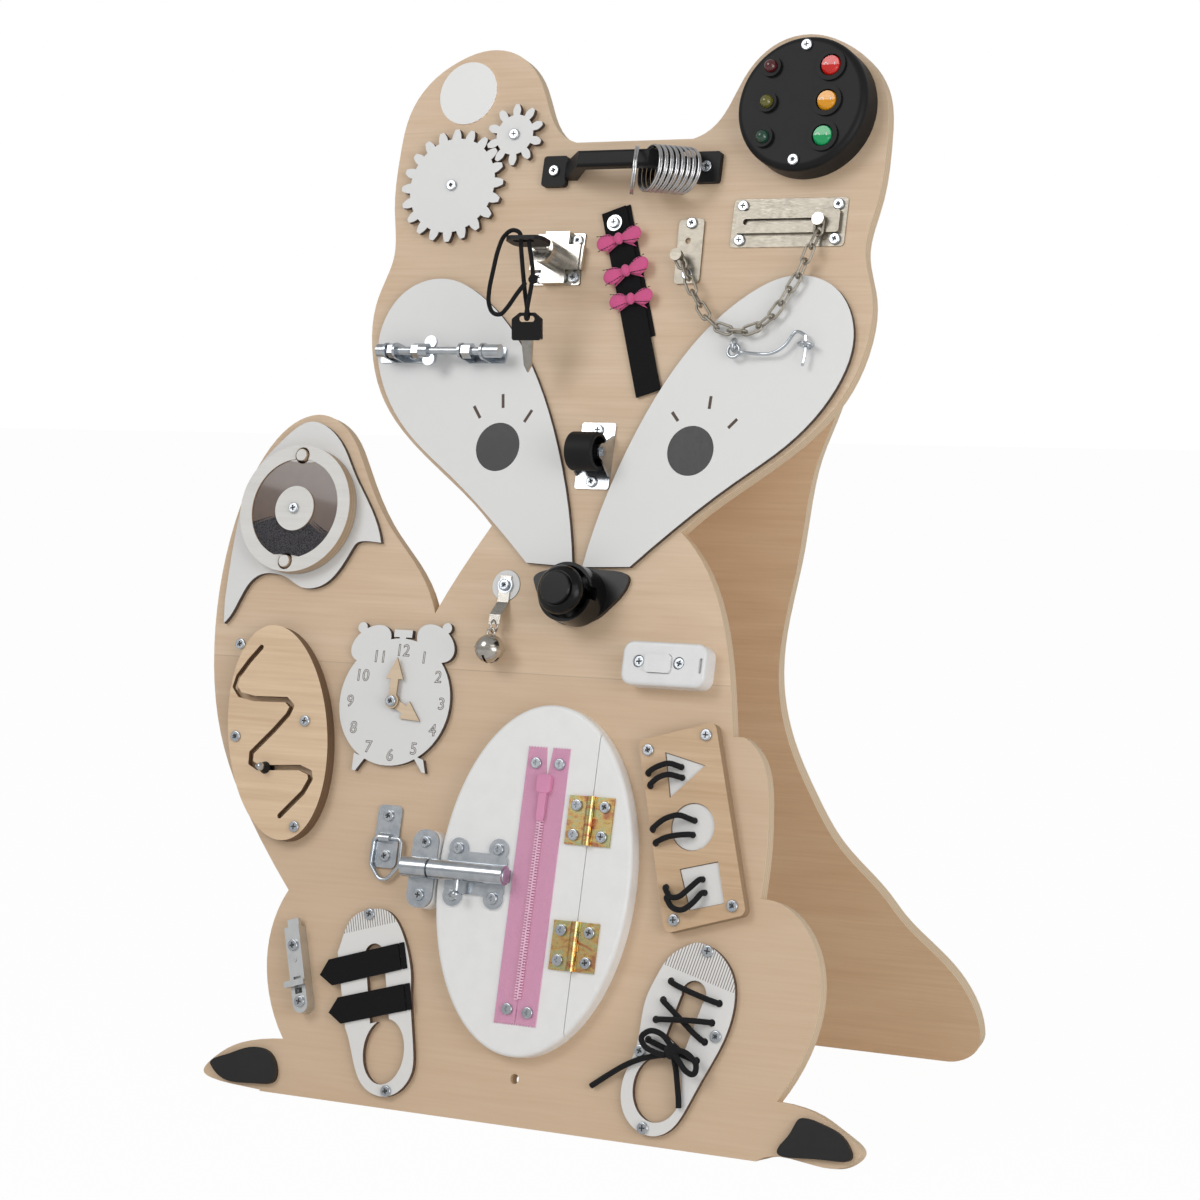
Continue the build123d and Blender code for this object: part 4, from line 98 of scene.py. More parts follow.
class Finish:
    """One material. node() adds each node, and feed() wires a value into its shader."""

    def __init__(self, name, colour=(0.8, 0.8, 0.8), roughness=0.5, metallic=0.0, **sockets):
        self.material = bpy.data.materials.new(name)
        self.material.use_nodes = True
        self.tree = self.material.node_tree
        self.shader = self.tree.nodes["Principled BSDF"]
        self.feed("Base Color", (*colour, 1.0))
        self.feed("Roughness", roughness)
        self.feed("Metallic", metallic)
        for socket, value in sockets.items():
            self.feed(socket.replace("_", " "), value)

    def node(self, kind, settings=None, inputs=None, output=0):
        made = self.tree.nodes.new("ShaderNode" + kind)
        for name, value in (settings or {}).items():
            setattr(made, name, value)
        for name, value in (inputs or {}).items():
            self.wire(made.inputs[name], value)
        return Value(self, made.outputs[output])

    def wire(self, socket, value):
        if isinstance(value, Value):
            self.tree.links.new(value.socket, socket)
        else:
            socket.default_value = value

    def feed(self, socket, value):
        self.wire(self.shader.inputs[socket], value)

    def place(self, lean=LEAN, foot=-HALF_FOOT):
        """Board coordinates, mm, from where the surface is at rest."""
        here = self.node("TexCoord", output=3)
        return self.node("Mapping", {}, {
            "Vector": here, "Scale": (1000.0, 1000.0, 1000.0), "Rotation": (lean - pi / 2, 0, 0),
            "Location": (0, -foot * sin(lean), foot * cos(lean))})

    def facing(self, lean=LEAN):
        """1 on faces parallel to the board and 0 on its edges."""
        normal = self.node("TexCoord", output=1)
        outward = (0.0, -cos(lean), sin(lean))
        dot = self.node("VectorMath", {"operation": "DOT_PRODUCT"},
                        {0: normal, 1: outward}, output=1)
        return dot.sum("ABSOLUTE", dot) > 0.7

    def stretched(self, place, scale):
        return self.node("VectorMath", {"operation": "MULTIPLY"}, {0: place, 1: scale})

    def noise(self, place, scale, detail=4.0, distortion=0.0):
        """Cloudy noise from 0 to 1; `scale` is how often it turns per millimetre."""
        return self.node("TexNoise", {}, {"Vector": self.stretched(place, scale), "Scale": 1.0,
                                          "Detail": detail, "Distortion": distortion})

    def mixed(self, factor, first, second):
        colours = [value if isinstance(value, Value) else (*value, 1.0)
                   for value in (first, second)]
        return self.node("Mix", {"data_type": "RGBA"},
                         {0: factor, 6: colours[0], 7: colours[1]}, output=2)

    def bump(self, height, strength, distance=0.0002):
        self.feed("Normal", self.node("Bump", {}, {"Height": height, "Strength": strength,
                                                   "Distance": distance}))


def spread(value, low, high):
    """`value` stretched so that low becomes 0 and high becomes 1, and held there."""
    return value.finish.node("MapRange", {}, {"Value": value, "From Min": low,
                                              "From Max": high})


# ---------------------------------------------------------------- wood and laminates
def birch(name, light, dark, edge_light, edge_dark, lean=LEAN, foot=-HALF_FOOT, bottom=-10.0,
          plies=7, thickness=BOARD_THICKNESS, seam=None, burnt=0.0):
    """Birch plywood: grain that runs across the board, and its plies on the edges."""
    finish = Finish(name, light, 0.5)
    place = finish.place(lean, foot)
    waves = finish.noise(place, (0.004, 0.035, 0.02), 5.0, 1.4)
    streaks = finish.noise(place, (0.012, 0.42, 0.3), 6.0, 0.5)
    pores = finish.noise(place, (0.09, 2.2, 1.0), 3.0)
    figure = spread(waves * 0.55 + streaks * 0.45, 0.36, 0.66)
    face = finish.mixed(figure, light, dark)
    face = finish.mixed(spread(pores, 0.62, 0.86) * 0.35, face, [part * 0.72 for part in dark])
    if seam is not None:
        height = finish.node("SeparateXYZ", {}, {0: place}, output=1)
        below = height < seam
        face = finish.mixed(below * 0.38, face, [part * 0.9 for part in dark])
        line = (height - seam).sum("ABSOLUTE", height - seam) < 0.35
        face = finish.mixed(line * 0.4, face, [part * 0.6 for part in dark])
    depth = finish.node("SeparateXYZ", {}, {0: place}, output=2)
    layer = ((depth - bottom) * (plies / thickness)).sum("FRACT", (depth - bottom)
                                                         * (plies / thickness))
    glue = (layer < 0.16) * 0.75
    even = (depth - bottom) * (plies / thickness / 2)
    cross = (even.sum("FRACT", even) > 0.5) * 0.45
    edge = finish.mixed(cross, edge_light, edge_dark)
    edge = finish.mixed(glue, edge, [part * 0.55 for part in edge_dark])
    if burnt:
        edge = finish.mixed(burnt, edge, (0.045, 0.022, 0.012))
    finish.feed("Base Color", finish.mixed(finish.facing(lean), edge, face))
    finish.feed("Roughness", spread(streaks, 0.2, 0.8) * 0.14 + 0.42)
    finish.bump(streaks * 0.6 + pores * 0.4, 0.22)
    return finish


def laminate(name, face, edge, speckle=0.03):
    """Smooth sheet with a dark, laser-cut edge."""
    finish = Finish(name, face, 0.34)
    place = finish.place()
    cloud = finish.noise(place, (0.05, 0.05, 0.05), 3.0)
    smoke = finish.noise(place, (0.4, 0.4, 0.4), 4.0)
    top = finish.mixed(spread(cloud, 0.35, 0.7) * speckle, face, (0.72, 0.70, 0.66))
    side = finish.mixed(spread(smoke, 0.35, 0.65), edge, [part * 1.9 for part in edge])
    finish.feed("Base Color", finish.mixed(finish.facing(), side, top))
    finish.feed("Roughness", 0.62 - finish.facing() * 0.3 + spread(smoke, 0.3, 0.7) * 0.05)
    finish.bump(finish.noise(place, (1.6, 1.6, 1.6), 2.0), 0.05)
    return finish


def engraved_laminate():
    """White laminate with fine brown lines burnt across the toe caps."""
    finish = laminate("engraved_white", (0.82, 0.81, 0.79), (0.075, 0.045, 0.03))
    place = finish.place()
    u = finish.node("SeparateXYZ", {}, {0: place})
    v = finish.node("SeparateXYZ", {}, {0: place}, output=1)
    left_toe = (v - u * 0.29 > 164.0) * (u < 0.0)
    right_toe = (v + u * 0.258 > 150.4) * (u > 0.0)
    pitch = 1.0 / 2.1
    left_line = ((u + v * 0.29) * pitch).sum("FRACT", (u + v * 0.29) * pitch) < 0.3
    right_line = ((u - v * 0.258) * pitch).sum("FRACT", (u - v * 0.258) * pitch) < 0.3
    lines = left_toe * left_line + right_toe * right_line
    plain = finish.shader.inputs["Base Color"].links[0].from_socket
    burnt = finish.mixed(lines * finish.facing() * 0.85, Value(finish, plain), (0.13, 0.075, 0.045))
    finish.feed("Base Color", burnt)
    return finish


front_birch = birch("birch_front", (0.775, 0.590, 0.415), (0.69, 0.495, 0.325),
                    (0.78, 0.61, 0.42), (0.62, 0.43, 0.26), seam=SEAM_HEIGHT)
# the rear panel's birch is lighter than the front board's: painted light for the light that falls
# on the rear panel's face
lit_rear_birch = birch("birch_rear_painted_light", (0.90, 0.66, 0.43), (0.80, 0.55, 0.33),
                   (0.82, 0.66, 0.47), (0.66, 0.46, 0.28), REAR_LEAN, REAR_FOOT)
plate_birch = birch("birch_plate", (0.72, 0.51, 0.325), (0.58, 0.385, 0.22), (0.6, 0.43, 0.27),
                    (0.42, 0.28, 0.17), bottom=0.0, plies=5, thickness=8.0, burnt=0.35)
maze_birch = birch("birch_maze", (0.84, 0.63, 0.42), (0.69, 0.48, 0.30), (0.30, 0.18, 0.10),
                   (0.20, 0.115, 0.06), bottom=0.0, plies=6, thickness=10.0, burnt=0.45)
hand_birch = birch("birch_hands", (0.76, 0.61, 0.43), (0.66, 0.49, 0.33), (0.42, 0.29, 0.18),
                   (0.30, 0.19, 0.11), bottom=0.0, plies=3, thickness=4.0, burnt=0.3)
ring_birch = birch("birch_ring", (0.80, 0.79, 0.76), (0.74, 0.72, 0.68), (0.56, 0.42, 0.28),
                   (0.40, 0.28, 0.18), bottom=0.0, plies=9, thickness=15.0, burnt=0.1)
white_laminate = laminate("white_laminate", (0.79, 0.79, 0.78), (0.055, 0.038, 0.03))
black_laminate = laminate("black_laminate", (0.009, 0.009, 0.009), (0.020, 0.013, 0.009), 0.004)
white_insert = laminate("white_insert", (0.80, 0.79, 0.77), (0.30, 0.20, 0.13))
white_label = laminate("white_label", (0.86, 0.86, 0.85), (0.80, 0.80, 0.79), 0.0)
shoe_laminate = engraved_laminate()


# ---------------------------------------------------------------- metals
def metal(name, colour, roughness, patches=(0.0, 0.0, 0.0), patch_share=0.0, brushed=0.0):
    """Plated or polished metal with faint patches, and brushing along the board if asked."""
    finish = Finish(name, colour, roughness, 1.0)
    place = finish.place()
    cloud = finish.noise(place, (0.16, 0.16, 0.16), 3.0)
    grain = finish.noise(place, (0.25 if brushed else 1.5, 3.0, 1.5), 3.0)
    tone = finish.mixed(spread(cloud, 0.42, 0.68) * patch_share, colour, patches)
    finish.feed("Base Color", tone)
    finish.feed("Roughness", spread(grain, 0.3, 0.75) * (0.08 + brushed) + roughness)
    finish.bump(grain, 0.06 + brushed)
    return finish


zinc = metal("bright_zinc", (0.60, 0.63, 0.66), 0.2, (0.42, 0.47, 0.53), 0.6)
nickel = metal("polished_nickel", (0.60, 0.57, 0.52), 0.16, (0.40, 0.37, 0.33), 0.5)
brushed_nickel = metal("brushed_nickel", (0.42, 0.385, 0.325), 0.36, (0.31, 0.28, 0.235), 0.5, 0.12)
ring_steel = metal("ring_steel", (0.66, 0.66, 0.67), 0.1, (0.4, 0.4, 0.42), 0.4)
latch_zinc = metal("latch_zinc", (0.66, 0.67, 0.67), 0.36, (0.55, 0.56, 0.57), 0.5)


def iridescent_zinc():
    """Yellow passivated zinc that drifts between gold, orange, violet and green."""
    finish = Finish("iridescent_zinc", (0.6, 0.42, 0.2), 0.28, 1.0)
    place = finish.place()
    drift = finish.noise(place, (0.045, 0.09, 0.09), 3.0, 2.2)
    warm = finish.mixed(spread(drift, 0.34, 0.5), (0.46, 0.20, 0.11), (0.66, 0.44, 0.16))
    tone = finish.mixed(spread(drift, 0.5, 0.62), warm, (0.50, 0.50, 0.26))
    fleck = finish.noise(place, (0.5, 0.5, 0.5), 3.0)
    tone = finish.mixed(spread(fleck, 0.55, 0.8) * 0.5, tone, (0.34, 0.20, 0.26))
    finish.feed("Base Color", tone)
    finish.feed("Roughness", spread(fleck, 0.3, 0.8) * 0.14 + 0.24)
    finish.bump(fleck, 0.08)
    return finish


hinge_zinc = iridescent_zinc()


# ---------------------------------------------------------------- plastics and paint
def plastic(name, colour, roughness, grain=0.05, tint=0.88, **sockets):
    """Moulded plastic with a fine grain and slightly uneven colour."""
    finish = Finish(name, colour, roughness, **sockets)
    place = finish.place()
    cloud = finish.noise(place, (0.08, 0.08, 0.08), 2.0)
    pebbles = finish.noise(place, (2.4, 2.4, 2.4), 2.0)
    finish.feed("Base Color", finish.mixed(spread(cloud, 0.35, 0.7), colour,
                                           [part * tint for part in colour]))
    finish.feed("Roughness", spread(pebbles, 0.3, 0.7) * 0.08 + roughness)
    finish.bump(pebbles, grain)
    return finish


dull = {"Specular_IOR_Level": 0.22}
black_plastic = plastic("black_plastic", (0.010, 0.010, 0.011), 0.42, 0.12, **dull)
glossy_black = plastic("glossy_black", (0.006, 0.006, 0.006), 0.16, 0.02, **dull)
white_plastic = plastic("white_plastic", (0.84, 0.84, 0.84), 0.22, 0.02, 0.96)
black_rubber = plastic("black_rubber", (0.011, 0.011, 0.012), 0.5, 0.15, **dull)
white_paint = plastic("white_paint", (0.90, 0.90, 0.89), 0.36, 0.1, 0.97)
red_switch = plastic("red_switch", (0.72, 0.018, 0.012), 0.16, 0.02, Coat_Weight=0.4)
amber_switch = plastic("amber_switch", (0.86, 0.36, 0.01), 0.16, 0.02, Coat_Weight=0.4)
green_switch = plastic("green_switch", (0.008, 0.42, 0.13), 0.16, 0.02, Coat_Weight=0.4)
red_lamp = plastic("red_lamp", (0.09, 0.006, 0.008), 0.08, 0.0, Coat_Weight=0.8)
olive_lamp = plastic("olive_lamp", (0.13, 0.12, 0.012), 0.08, 0.0, Coat_Weight=0.8)
green_lamp = plastic("green_lamp", (0.008, 0.055, 0.03), 0.08, 0.0, Coat_Weight=0.8)
smoky_window = plastic("smoky_window", (0.12, 0.072, 0.05), 0.12, 0.0, Coat_Weight=0.6)
mark_white = plastic("mark_white", (0.85, 0.85, 0.84), 0.4)
# painted shade: the dark colour of the blocks that stand in for the shade inside the screw heads'
# cross recesses
recess_shade = plastic("recess_shadow", (0.05, 0.05, 0.052), 0.5)
burnt_line = plastic("burnt_line", (0.12, 0.085, 0.065), 0.7)


def poppy_grains():
    """Small dark round seeds packed in the window's foot, each lighter in its middle and darker
    towards its rim: a painted highlight on each seed and painted shade between the seeds.
    """
    finish = Finish("poppy_grains", (0.03, 0.03, 0.04), 0.55)
    place = finish.place()
    seeds = finish.node("TexVoronoi", {}, {"Vector": finish.stretched(place, (1.3, 1.3, 1.3)),
                                           "Scale": 1.0})
    # painted highlight at each seed's middle, running to painted shade at its rim and between the
    # seeds
    finish.feed("Base Color", finish.mixed(spread(seeds, 0.15, 0.6), (0.13, 0.12, 0.14),
                                           (0.012, 0.011, 0.013)))
    finish.bump(1.0 - seeds, 0.9, 0.0006)
    return finish


seeds = poppy_grains()


# ---------------------------------------------------------------- fabrics and cords
def woven(name, colour, pitch, angle=0.0, fleck=1.5, sheen=0.25):
    """Plain weave, `pitch` mm from thread to thread, turned `angle` degrees on the board. Its
    colour runs darker and lighter with the threads: painted shade and highlight on the weave, mixed
    with random fuzz in tone.
    """
    finish = Finish(name, colour, 0.82, Sheen_Weight=sheen, Specular_IOR_Level=0.2)
    place = finish.node("Mapping", {}, {"Vector": finish.place(),
                                        "Rotation": (0, 0, radians(-angle))})
    u = finish.node("SeparateXYZ", {}, {0: place}) * (2 * pi / pitch)
    v = finish.node("SeparateXYZ", {}, {0: place}, output=1) * (2 * pi / pitch)
    warp, weft = u.sum("SINE", u), v.sum("SINE", v)
    threads = warp * weft
    fuzz = finish.noise(place, (1.2, 1.2, 1.2), 4.0)
    # painted shade and highlight: the threads' pattern darkens and lightens the colour, together
    # with random fuzz in tone
    shade = spread(threads + fuzz, -0.4, 1.4)
    finish.feed("Base Color", finish.mixed(shade, [part * 0.62 for part in colour],
                                           [min(part * fleck, 1.0) for part in colour]))
    finish.feed("Roughness", spread(fuzz, 0.3, 0.7) * 0.14 + 0.74)
    finish.bump(threads * 0.5 + fuzz * 0.5, 0.6, 0.0003)
    return finish


strap_angle = -71.1
black_webbing = woven("black_webbing", (0.006, 0.006, 0.007), 1.3, strap_angle, 1.5, 0.02)
shoe_webbing = woven("shoe_webbing", (0.006, 0.006, 0.007), 1.3, 17.0, 1.5, 0.02)
pink_ribbon = woven("pink_ribbon", (0.80, 0.13, 0.33), 0.9, 12.0, 1.25)
zip_fabric = woven("zip_fabric", (0.90, 0.44, 0.64), 0.8, 0.0, 1.08)
zip_tooth = plastic("zip_teeth", (0.95, 0.60, 0.76), 0.3, 0.02)
zip_pull = plastic("zip_pull", (0.78, 0.30, 0.50), 0.24, 0.02, Coat_Weight=0.4)
black_thread = plastic("black_thread", (0.015, 0.013, 0.015), 0.8, 0.3)
braid = woven("braided_cord", (0.008, 0.008, 0.009), 1.1, 45.0, 2.2, 0.05)


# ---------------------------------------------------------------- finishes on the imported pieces
def paint(name, finish, *rules):
    """Gives a node its finish; each rule is another finish and where on the board it goes."""
    node = nodes[name]
    node.data.materials.clear()
    for each in (finish, *[rule[0] for rule in rules]):
        node.data.materials.append(each.material)
    if not rules:
        return
    for face in node.data.polygons:
        place = FROM_BOARD @ face.center
        for index, (_, holds) in enumerate(rules, 1):
            if holds(place):
                face.material_index = index


def near(centre, radius):
    return lambda place: hypot(place.x - centre[0], place.y - centre[1]) < radius


def in_window(place):
    """Whether a place is on the ring-shaped window of the drum."""
    reach = hypot(place.x - DRUM[0], place.y - DRUM[1])
    return WINDOW_INNER < reach < WINDOW_OUTER and place.z > WINDOW_FLOOR


plain_finishes = {
    front_birch: ["front_board"], lit_rear_birch: ["rear_panel"], plate_birch: ["lacing_plate"],
    maze_birch: ["maze_board"], hand_birch: ["minute_hand", "hour_hand"],
    white_laminate: ["big_gear", "small_gear"],
    white_insert: ["triangle_insert", "disc_insert", "square_insert"],
    shoe_laminate: ["shoe_panels"], black_laminate: ["black_overlays"],
    zinc: ["board_screws", "threaded_rod", "wing_nut", "cabin_hook", "lashing_ring",
           "bolt_plate", "bolt_bar", "rear_hinge_leaves"],
    nickel: ["jingle_bell", "lock_bolt", "chain_stud"], brushed_nickel: ["door_chain"],
    ring_steel: ["piled_rings", "loose_ring"], latch_zinc: ["latch_lever"],
    hinge_zinc: ["strip_hinge_leaves", "door_hinge_leaves"],
    black_plastic: ["pull_handle", "lamp_housing"], black_rubber: ["caster_wheel"],
    glossy_black: ["nose_housing", "nose_knob"],
    white_plastic: ["inline_switch_case", "inline_button"],
    white_paint: ["belly_strip", "door_leaf"], zip_fabric: ["zip_tape"],
    zip_pull: ["zip_slider"], shoe_webbing: ["upper_shoe_strap", "lower_shoe_strap"],
    black_webbing: ["spreader_strap", "fixed_webbing"],
    braid: ["insert_tethers", "shoe_lace", "key_cord"],
    red_switch: ["red_rocker"], amber_switch: ["amber_rocker"], green_switch: ["green_rocker"],
}
for finish, names in plain_finishes.items():
    for name in names:
        paint(name, finish)
paint("white_overlays", white_laminate, (white_label, near(LABEL, LABEL_RADIUS + 1)))
LAMPS_EDGE, RED_OLIVE, OLIVE_GREEN = 122.0, 744.0, 719.0      # between lamps, and their holder
paint("lamp_module", black_plastic,
      (red_lamp, lambda place: place.x < LAMPS_EDGE and place.y > RED_OLIVE),
      (olive_lamp, lambda place: place.x < LAMPS_EDGE and OLIVE_GREEN < place.y <= RED_OLIVE),
      (green_lamp, lambda place: place.x < LAMPS_EDGE and place.y <= OLIVE_GREEN))
paint("board_fittings", zinc,
      (brushed_nickel, lambda place: place.x > 86 and place.y > 628 and place.z < 12),
      (brushed_nickel, lambda place: 44 < place.x < 70 and 603 < place.y < 657))
paint("lock_housing", nickel,
      (black_plastic, lambda place: place.z < 1.4 and abs(place.x + 49.5) > 10
       and abs(place.y - 625.3) > 10))
paint("lock_key", black_plastic, (nickel, lambda place: place.z < 33.0))
paint("spare_key", black_plastic, (nickel, lambda place: place.y < 556.0))
paint("latch_case", latch_zinc)
paint("maze_figure", black_plastic, (zinc, lambda place: place.z > 15.2))
paint("spinning_drum", ring_birch, (smoky_window, in_window),
      (seeds, lambda place: in_window(place)
       and place.y < SEEDS_TOP - (place.x - DRUM[0]) * SEEDS_SLOPE))


# ---------------------------------------------------------------- making new pieces
def finished(name, shape, place, finish, body, smooth=False):
    """Makes the piece from its bmesh, puts it at its place and lets it ride on its body."""
    shape.transform(BOARD @ place)
    bmesh.ops.recalc_face_normals(shape, faces=shape.faces)
    mesh = bpy.data.meshes.new(name)
    shape.to_mesh(mesh)
    shape.free()
    mesh.materials.append(finish.material)
    for face in mesh.polygons:
        face.use_smooth = smooth
    piece = bpy.data.objects.new(name, mesh)
    bpy.context.scene.collection.objects.link(piece)
    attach(piece, body)
    return piece


def block(shape, size, centre=(0, 0, 0), bevel=0.0, angle=0.0):
    """Adds a box to the shape, with rounded edges when `bevel` is given."""
    place = turned(centre[0], centre[1], angle, centre[2]) @ Matrix.Diagonal((*size, 1.0))
    made = bmesh.ops.create_cube(shape, size=1.0, matrix=place)
    if bevel:
        edges = {edge for vertex in made["verts"] for edge in vertex.link_edges}
        bmesh.ops.bevel(shape, geom=list(edges), offset=bevel, segments=2, profile=0.5,
                        affect="EDGES", material=-1)


def prism(shape, outline, low, high, bevel=0.0):
    """Adds a flat piece with that outline, from height low to high."""
    bottom = [shape.verts.new((u, v, low)) for u, v in outline]
    face = shape.faces.new(bottom)
    raised = bmesh.ops.extrude_face_region(shape, geom=[face])["geom"]
    tops = [item for item in raised if isinstance(item, bmesh.types.BMVert)]
    bmesh.ops.translate(shape, verts=tops, vec=(0, 0, high - low))
    if bevel:
        rims = [edge for edge in {edge for vertex in tops for edge in vertex.link_edges}
                if all(vertex in tops for vertex in edge.verts)]
        bmesh.ops.bevel(shape, geom=rims, offset=bevel, segments=2, profile=0.5,
                        affect="EDGES", material=-1)


# ---------------------------------------------------------------- screw recesses
RECESS_REACH, RECESS_WIDTH, RECESS_DEPTH = 2.3, 0.85, 0.7


def screw_tops(name):
    """The place of the middle of each screw head's top on a node: u, v and its height."""
    merged = bmesh.new()
    merged.from_mesh(nodes[name].data)
    bmesh.ops.remove_doubles(merged, verts=merged.verts, dist=1e-6)
    merged.transform(FROM_BOARD)
    seen, tops = set(), []
    for start in merged.verts:
        if start in seen:
            continue
        island, queue = [], [start]
        seen.add(start)
        while queue:
            vertex = queue.pop()
            island.append(vertex.co.copy())
            for edge in vertex.link_edges:
                other = edge.other_vert(vertex)
                if other not in seen:
                    seen.add(other)
                    queue.append(other)
        low, high = (min(place.z for place in island), max(place.z for place in island))
        wide = max(place.x for place in island) - min(place.x for place in island)
        if wide < 11 and high - low > 6 and high > 0:
            crown = [place for place in island if place.z > high - 0.3]
            middle = sum(crown, Vector()) / len(crown)
            tops.append((middle.x, middle.y, high))
    merged.free()
    return tops


def recesses(node, body, only=lambda top: True):
    """Cross recesses on every screw head of a node, drawn as dark blocks of painted shade for the
    shade inside them.
    """
    shape = bmesh.new()
    for index, (u, v, top) in enumerate(place for place in screw_tops(node) if only(place)):
        for quarter in (0, 90):
            block(shape, (2 * RECESS_REACH, RECESS_WIDTH, RECESS_DEPTH),
                  (u, v, top - RECESS_DEPTH / 2 + 0.06), 0.15, 20 + 37 * index + quarter)
    if shape.faces:
        finished(node + "_recesses", shape, Matrix.Identity(4), recess_shade, body)


recesses("board_screws", "front")
recesses("door_hinge_leaves", "door")


# ---------------------------------------------------------------- dial numbers
NUMBER_HEIGHT, NUMBER_TOP = 9.0, 4.0
EM_PER_HEIGHT, BURNT_LINE = 1.36, 0.28
numbers = {12: (-135.4, 328.7), 1: (-116.7, 324.2), 2: (-102.5, 310.6), 3: (-96.9, 291.2),
           4: (-101.4, 271.6), 5: (-115.2, 257.2), 6: (-134.5, 251.3), 7: (-153.9, 256.3),
           8: (-168.8, 269.7), 9: (-174.7, 289.0), 10: (-167.3, 308.6), 11: (-154.5, 323.1)}
for hour, (u, v) in numbers.items():
    letters = bpy.data.curves.new("number_outline", "FONT")
    letters.body = str(hour)
    letters.size = NUMBER_HEIGHT * EM_PER_HEIGHT
    letters.align_x, letters.align_y = "CENTER", "CENTER"
    letters.fill_mode = "NONE"
    letters.bevel_depth = BURNT_LINE
    letters.resolution_u = 4
    drawn = bpy.data.objects.new("number_outline", letters)
    bpy.context.scene.collection.objects.link(drawn)
    bpy.context.view_layer.update()
    mesh = bpy.data.meshes.new_from_object(drawn.evaluated_get(
        bpy.context.evaluated_depsgraph_get()))
    bpy.data.objects.remove(drawn)
    shape = bmesh.new()
    shape.from_mesh(mesh)
    bpy.data.meshes.remove(mesh)
    bmesh.ops.remove_doubles(shape, verts=shape.verts, dist=0.001)
    finished(f"number_{hour}", shape, Matrix.Translation((u, v, NUMBER_TOP - 0.12)), burnt_line,
             "front")

# ---------------------------------------------------------------- lashes over the eyes
LASH_WIDTH = 2.4
lashes = [((-103.0, 513.4), (-96.5, 504.4)), ((-79.8, 522.7), (-78.2, 512.2)),
          ((-53.7, 511.0), (-59.0, 501.9)), ((60.4, 510.9), (66.0, 504.4)),
          ((89.6, 522.9), (89.3, 513.5)), ((112.1, 506.5), (105.9, 499.9))]
shape = bmesh.new()
for (u1, v1), (u2, v2) in lashes:
    block(shape, (hypot(u2 - u1, v2 - v1), LASH_WIDTH, 0.5), ((u1 + u2) / 2, (v1 + v2) / 2, 3.9),
          0.2, atan2(v2 - v1, u2 - u1) * 180 / pi)
finished("eye_lashes", shape, Matrix.Identity(4), burnt_line, "front")


# ---------------------------------------------------------------- straps and bows
WEBBING, STRAP_WIDTH = 1.5, 20.0
UNDER_SHORTER, UNDER_ASIDE = 41.5, 3.0             # of the strap's under layer
strap_top, strap_bottom = (-8.3, 662.0), (38.8, 524.5)
strap_length = hypot(strap_bottom[0] - strap_top[0], strap_bottom[1] - strap_top[1])
strap_middle = ((strap_top[0] + strap_bottom[0]) / 2, (strap_top[1] + strap_bottom[1]) / 2)
strap = turned(*strap_middle, strap_angle, 0)


def ribbon_bow(angle, scale):
    """A bow with two puffed loops, a knot and two tails, its middle at the origin."""
    shape = bmesh.new()
    for side in (-1, 1):
        loop = bmesh.ops.create_uvsphere(shape, u_segments=28, v_segments=16, radius=1.0)
        for vertex in loop["verts"]:
            share = (vertex.co.x + 1) / 2                  # 0 at the knot, 1 at the outer end
            flare = 0.36 + 0.64 * share ** 0.8
            fold = 0.16 * sin(vertex.co.y * 7.0 + side) * (1 - share)
            vertex.co = Vector((side * (1.0 + 17.5 * share * (1 - 0.09 * vertex.co.y ** 2)),
                                vertex.co.y * 8.2 * flare + side * share * 0.9,
                                4.0 + vertex.co.z * (3.1 * flare) + fold))
        prism(shape, [(side * 2, -2.5), (side * 12.5, -8.6), (side * 9.5, -5.2),
                      (side * 14.0, -3.4), (side * 3, 0)], 0.4, 1.5, 0.3)
    knot = bmesh.ops.create_uvsphere(shape, u_segments=20, v_segments=12, radius=1.0)
    for vertex in knot["verts"]:
        vertex.co = Vector((vertex.co.x * 3.4, vertex.co.y * 4.6, 4.2 + vertex.co.z * 3.7))
    shape.transform(Matrix.Rotation(radians(angle), 4, "Z") @ Matrix.Scale(scale, 4))
    return shape


def bow_stitches(angle, scale):
    """Dashes of black thread along the outer rims of both loops."""
    shape = bmesh.new()
    for side in (-1, 1):
        for rim in (-1, 1):
            for step in range(6):
                share = 0.22 + step * 0.13
                flare = 0.36 + 0.64 * share ** 0.8
                u = side * (1.0 + 17.5 * share)
                v = rim * 8.2 * flare * 0.76 + side * share * 0.9
                block(shape, (1.7, 0.55, 0.5), (u, v, 4.0 + 3.1 * flare * 0.68), 0.1,
                      side * rim * 12)
    shape.transform(Matrix.Rotation(radians(angle), 4, "Z") @ Matrix.Scale(scale, 4))
    return shape


shape = bmesh.new()
block(shape, (strap_length, STRAP_WIDTH, WEBBING - 0.1), (0, 0, WEBBING * 1.5), 0.4)
block(shape, (strap_length - UNDER_SHORTER, STRAP_WIDTH, WEBBING - 0.1),
      (-UNDER_SHORTER / 2, UNDER_ASIDE, WEBBING / 2), 0.4)
bow_band = finished("bow_band", shape, strap, black_webbing, "front")
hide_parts("fixed_webbing")
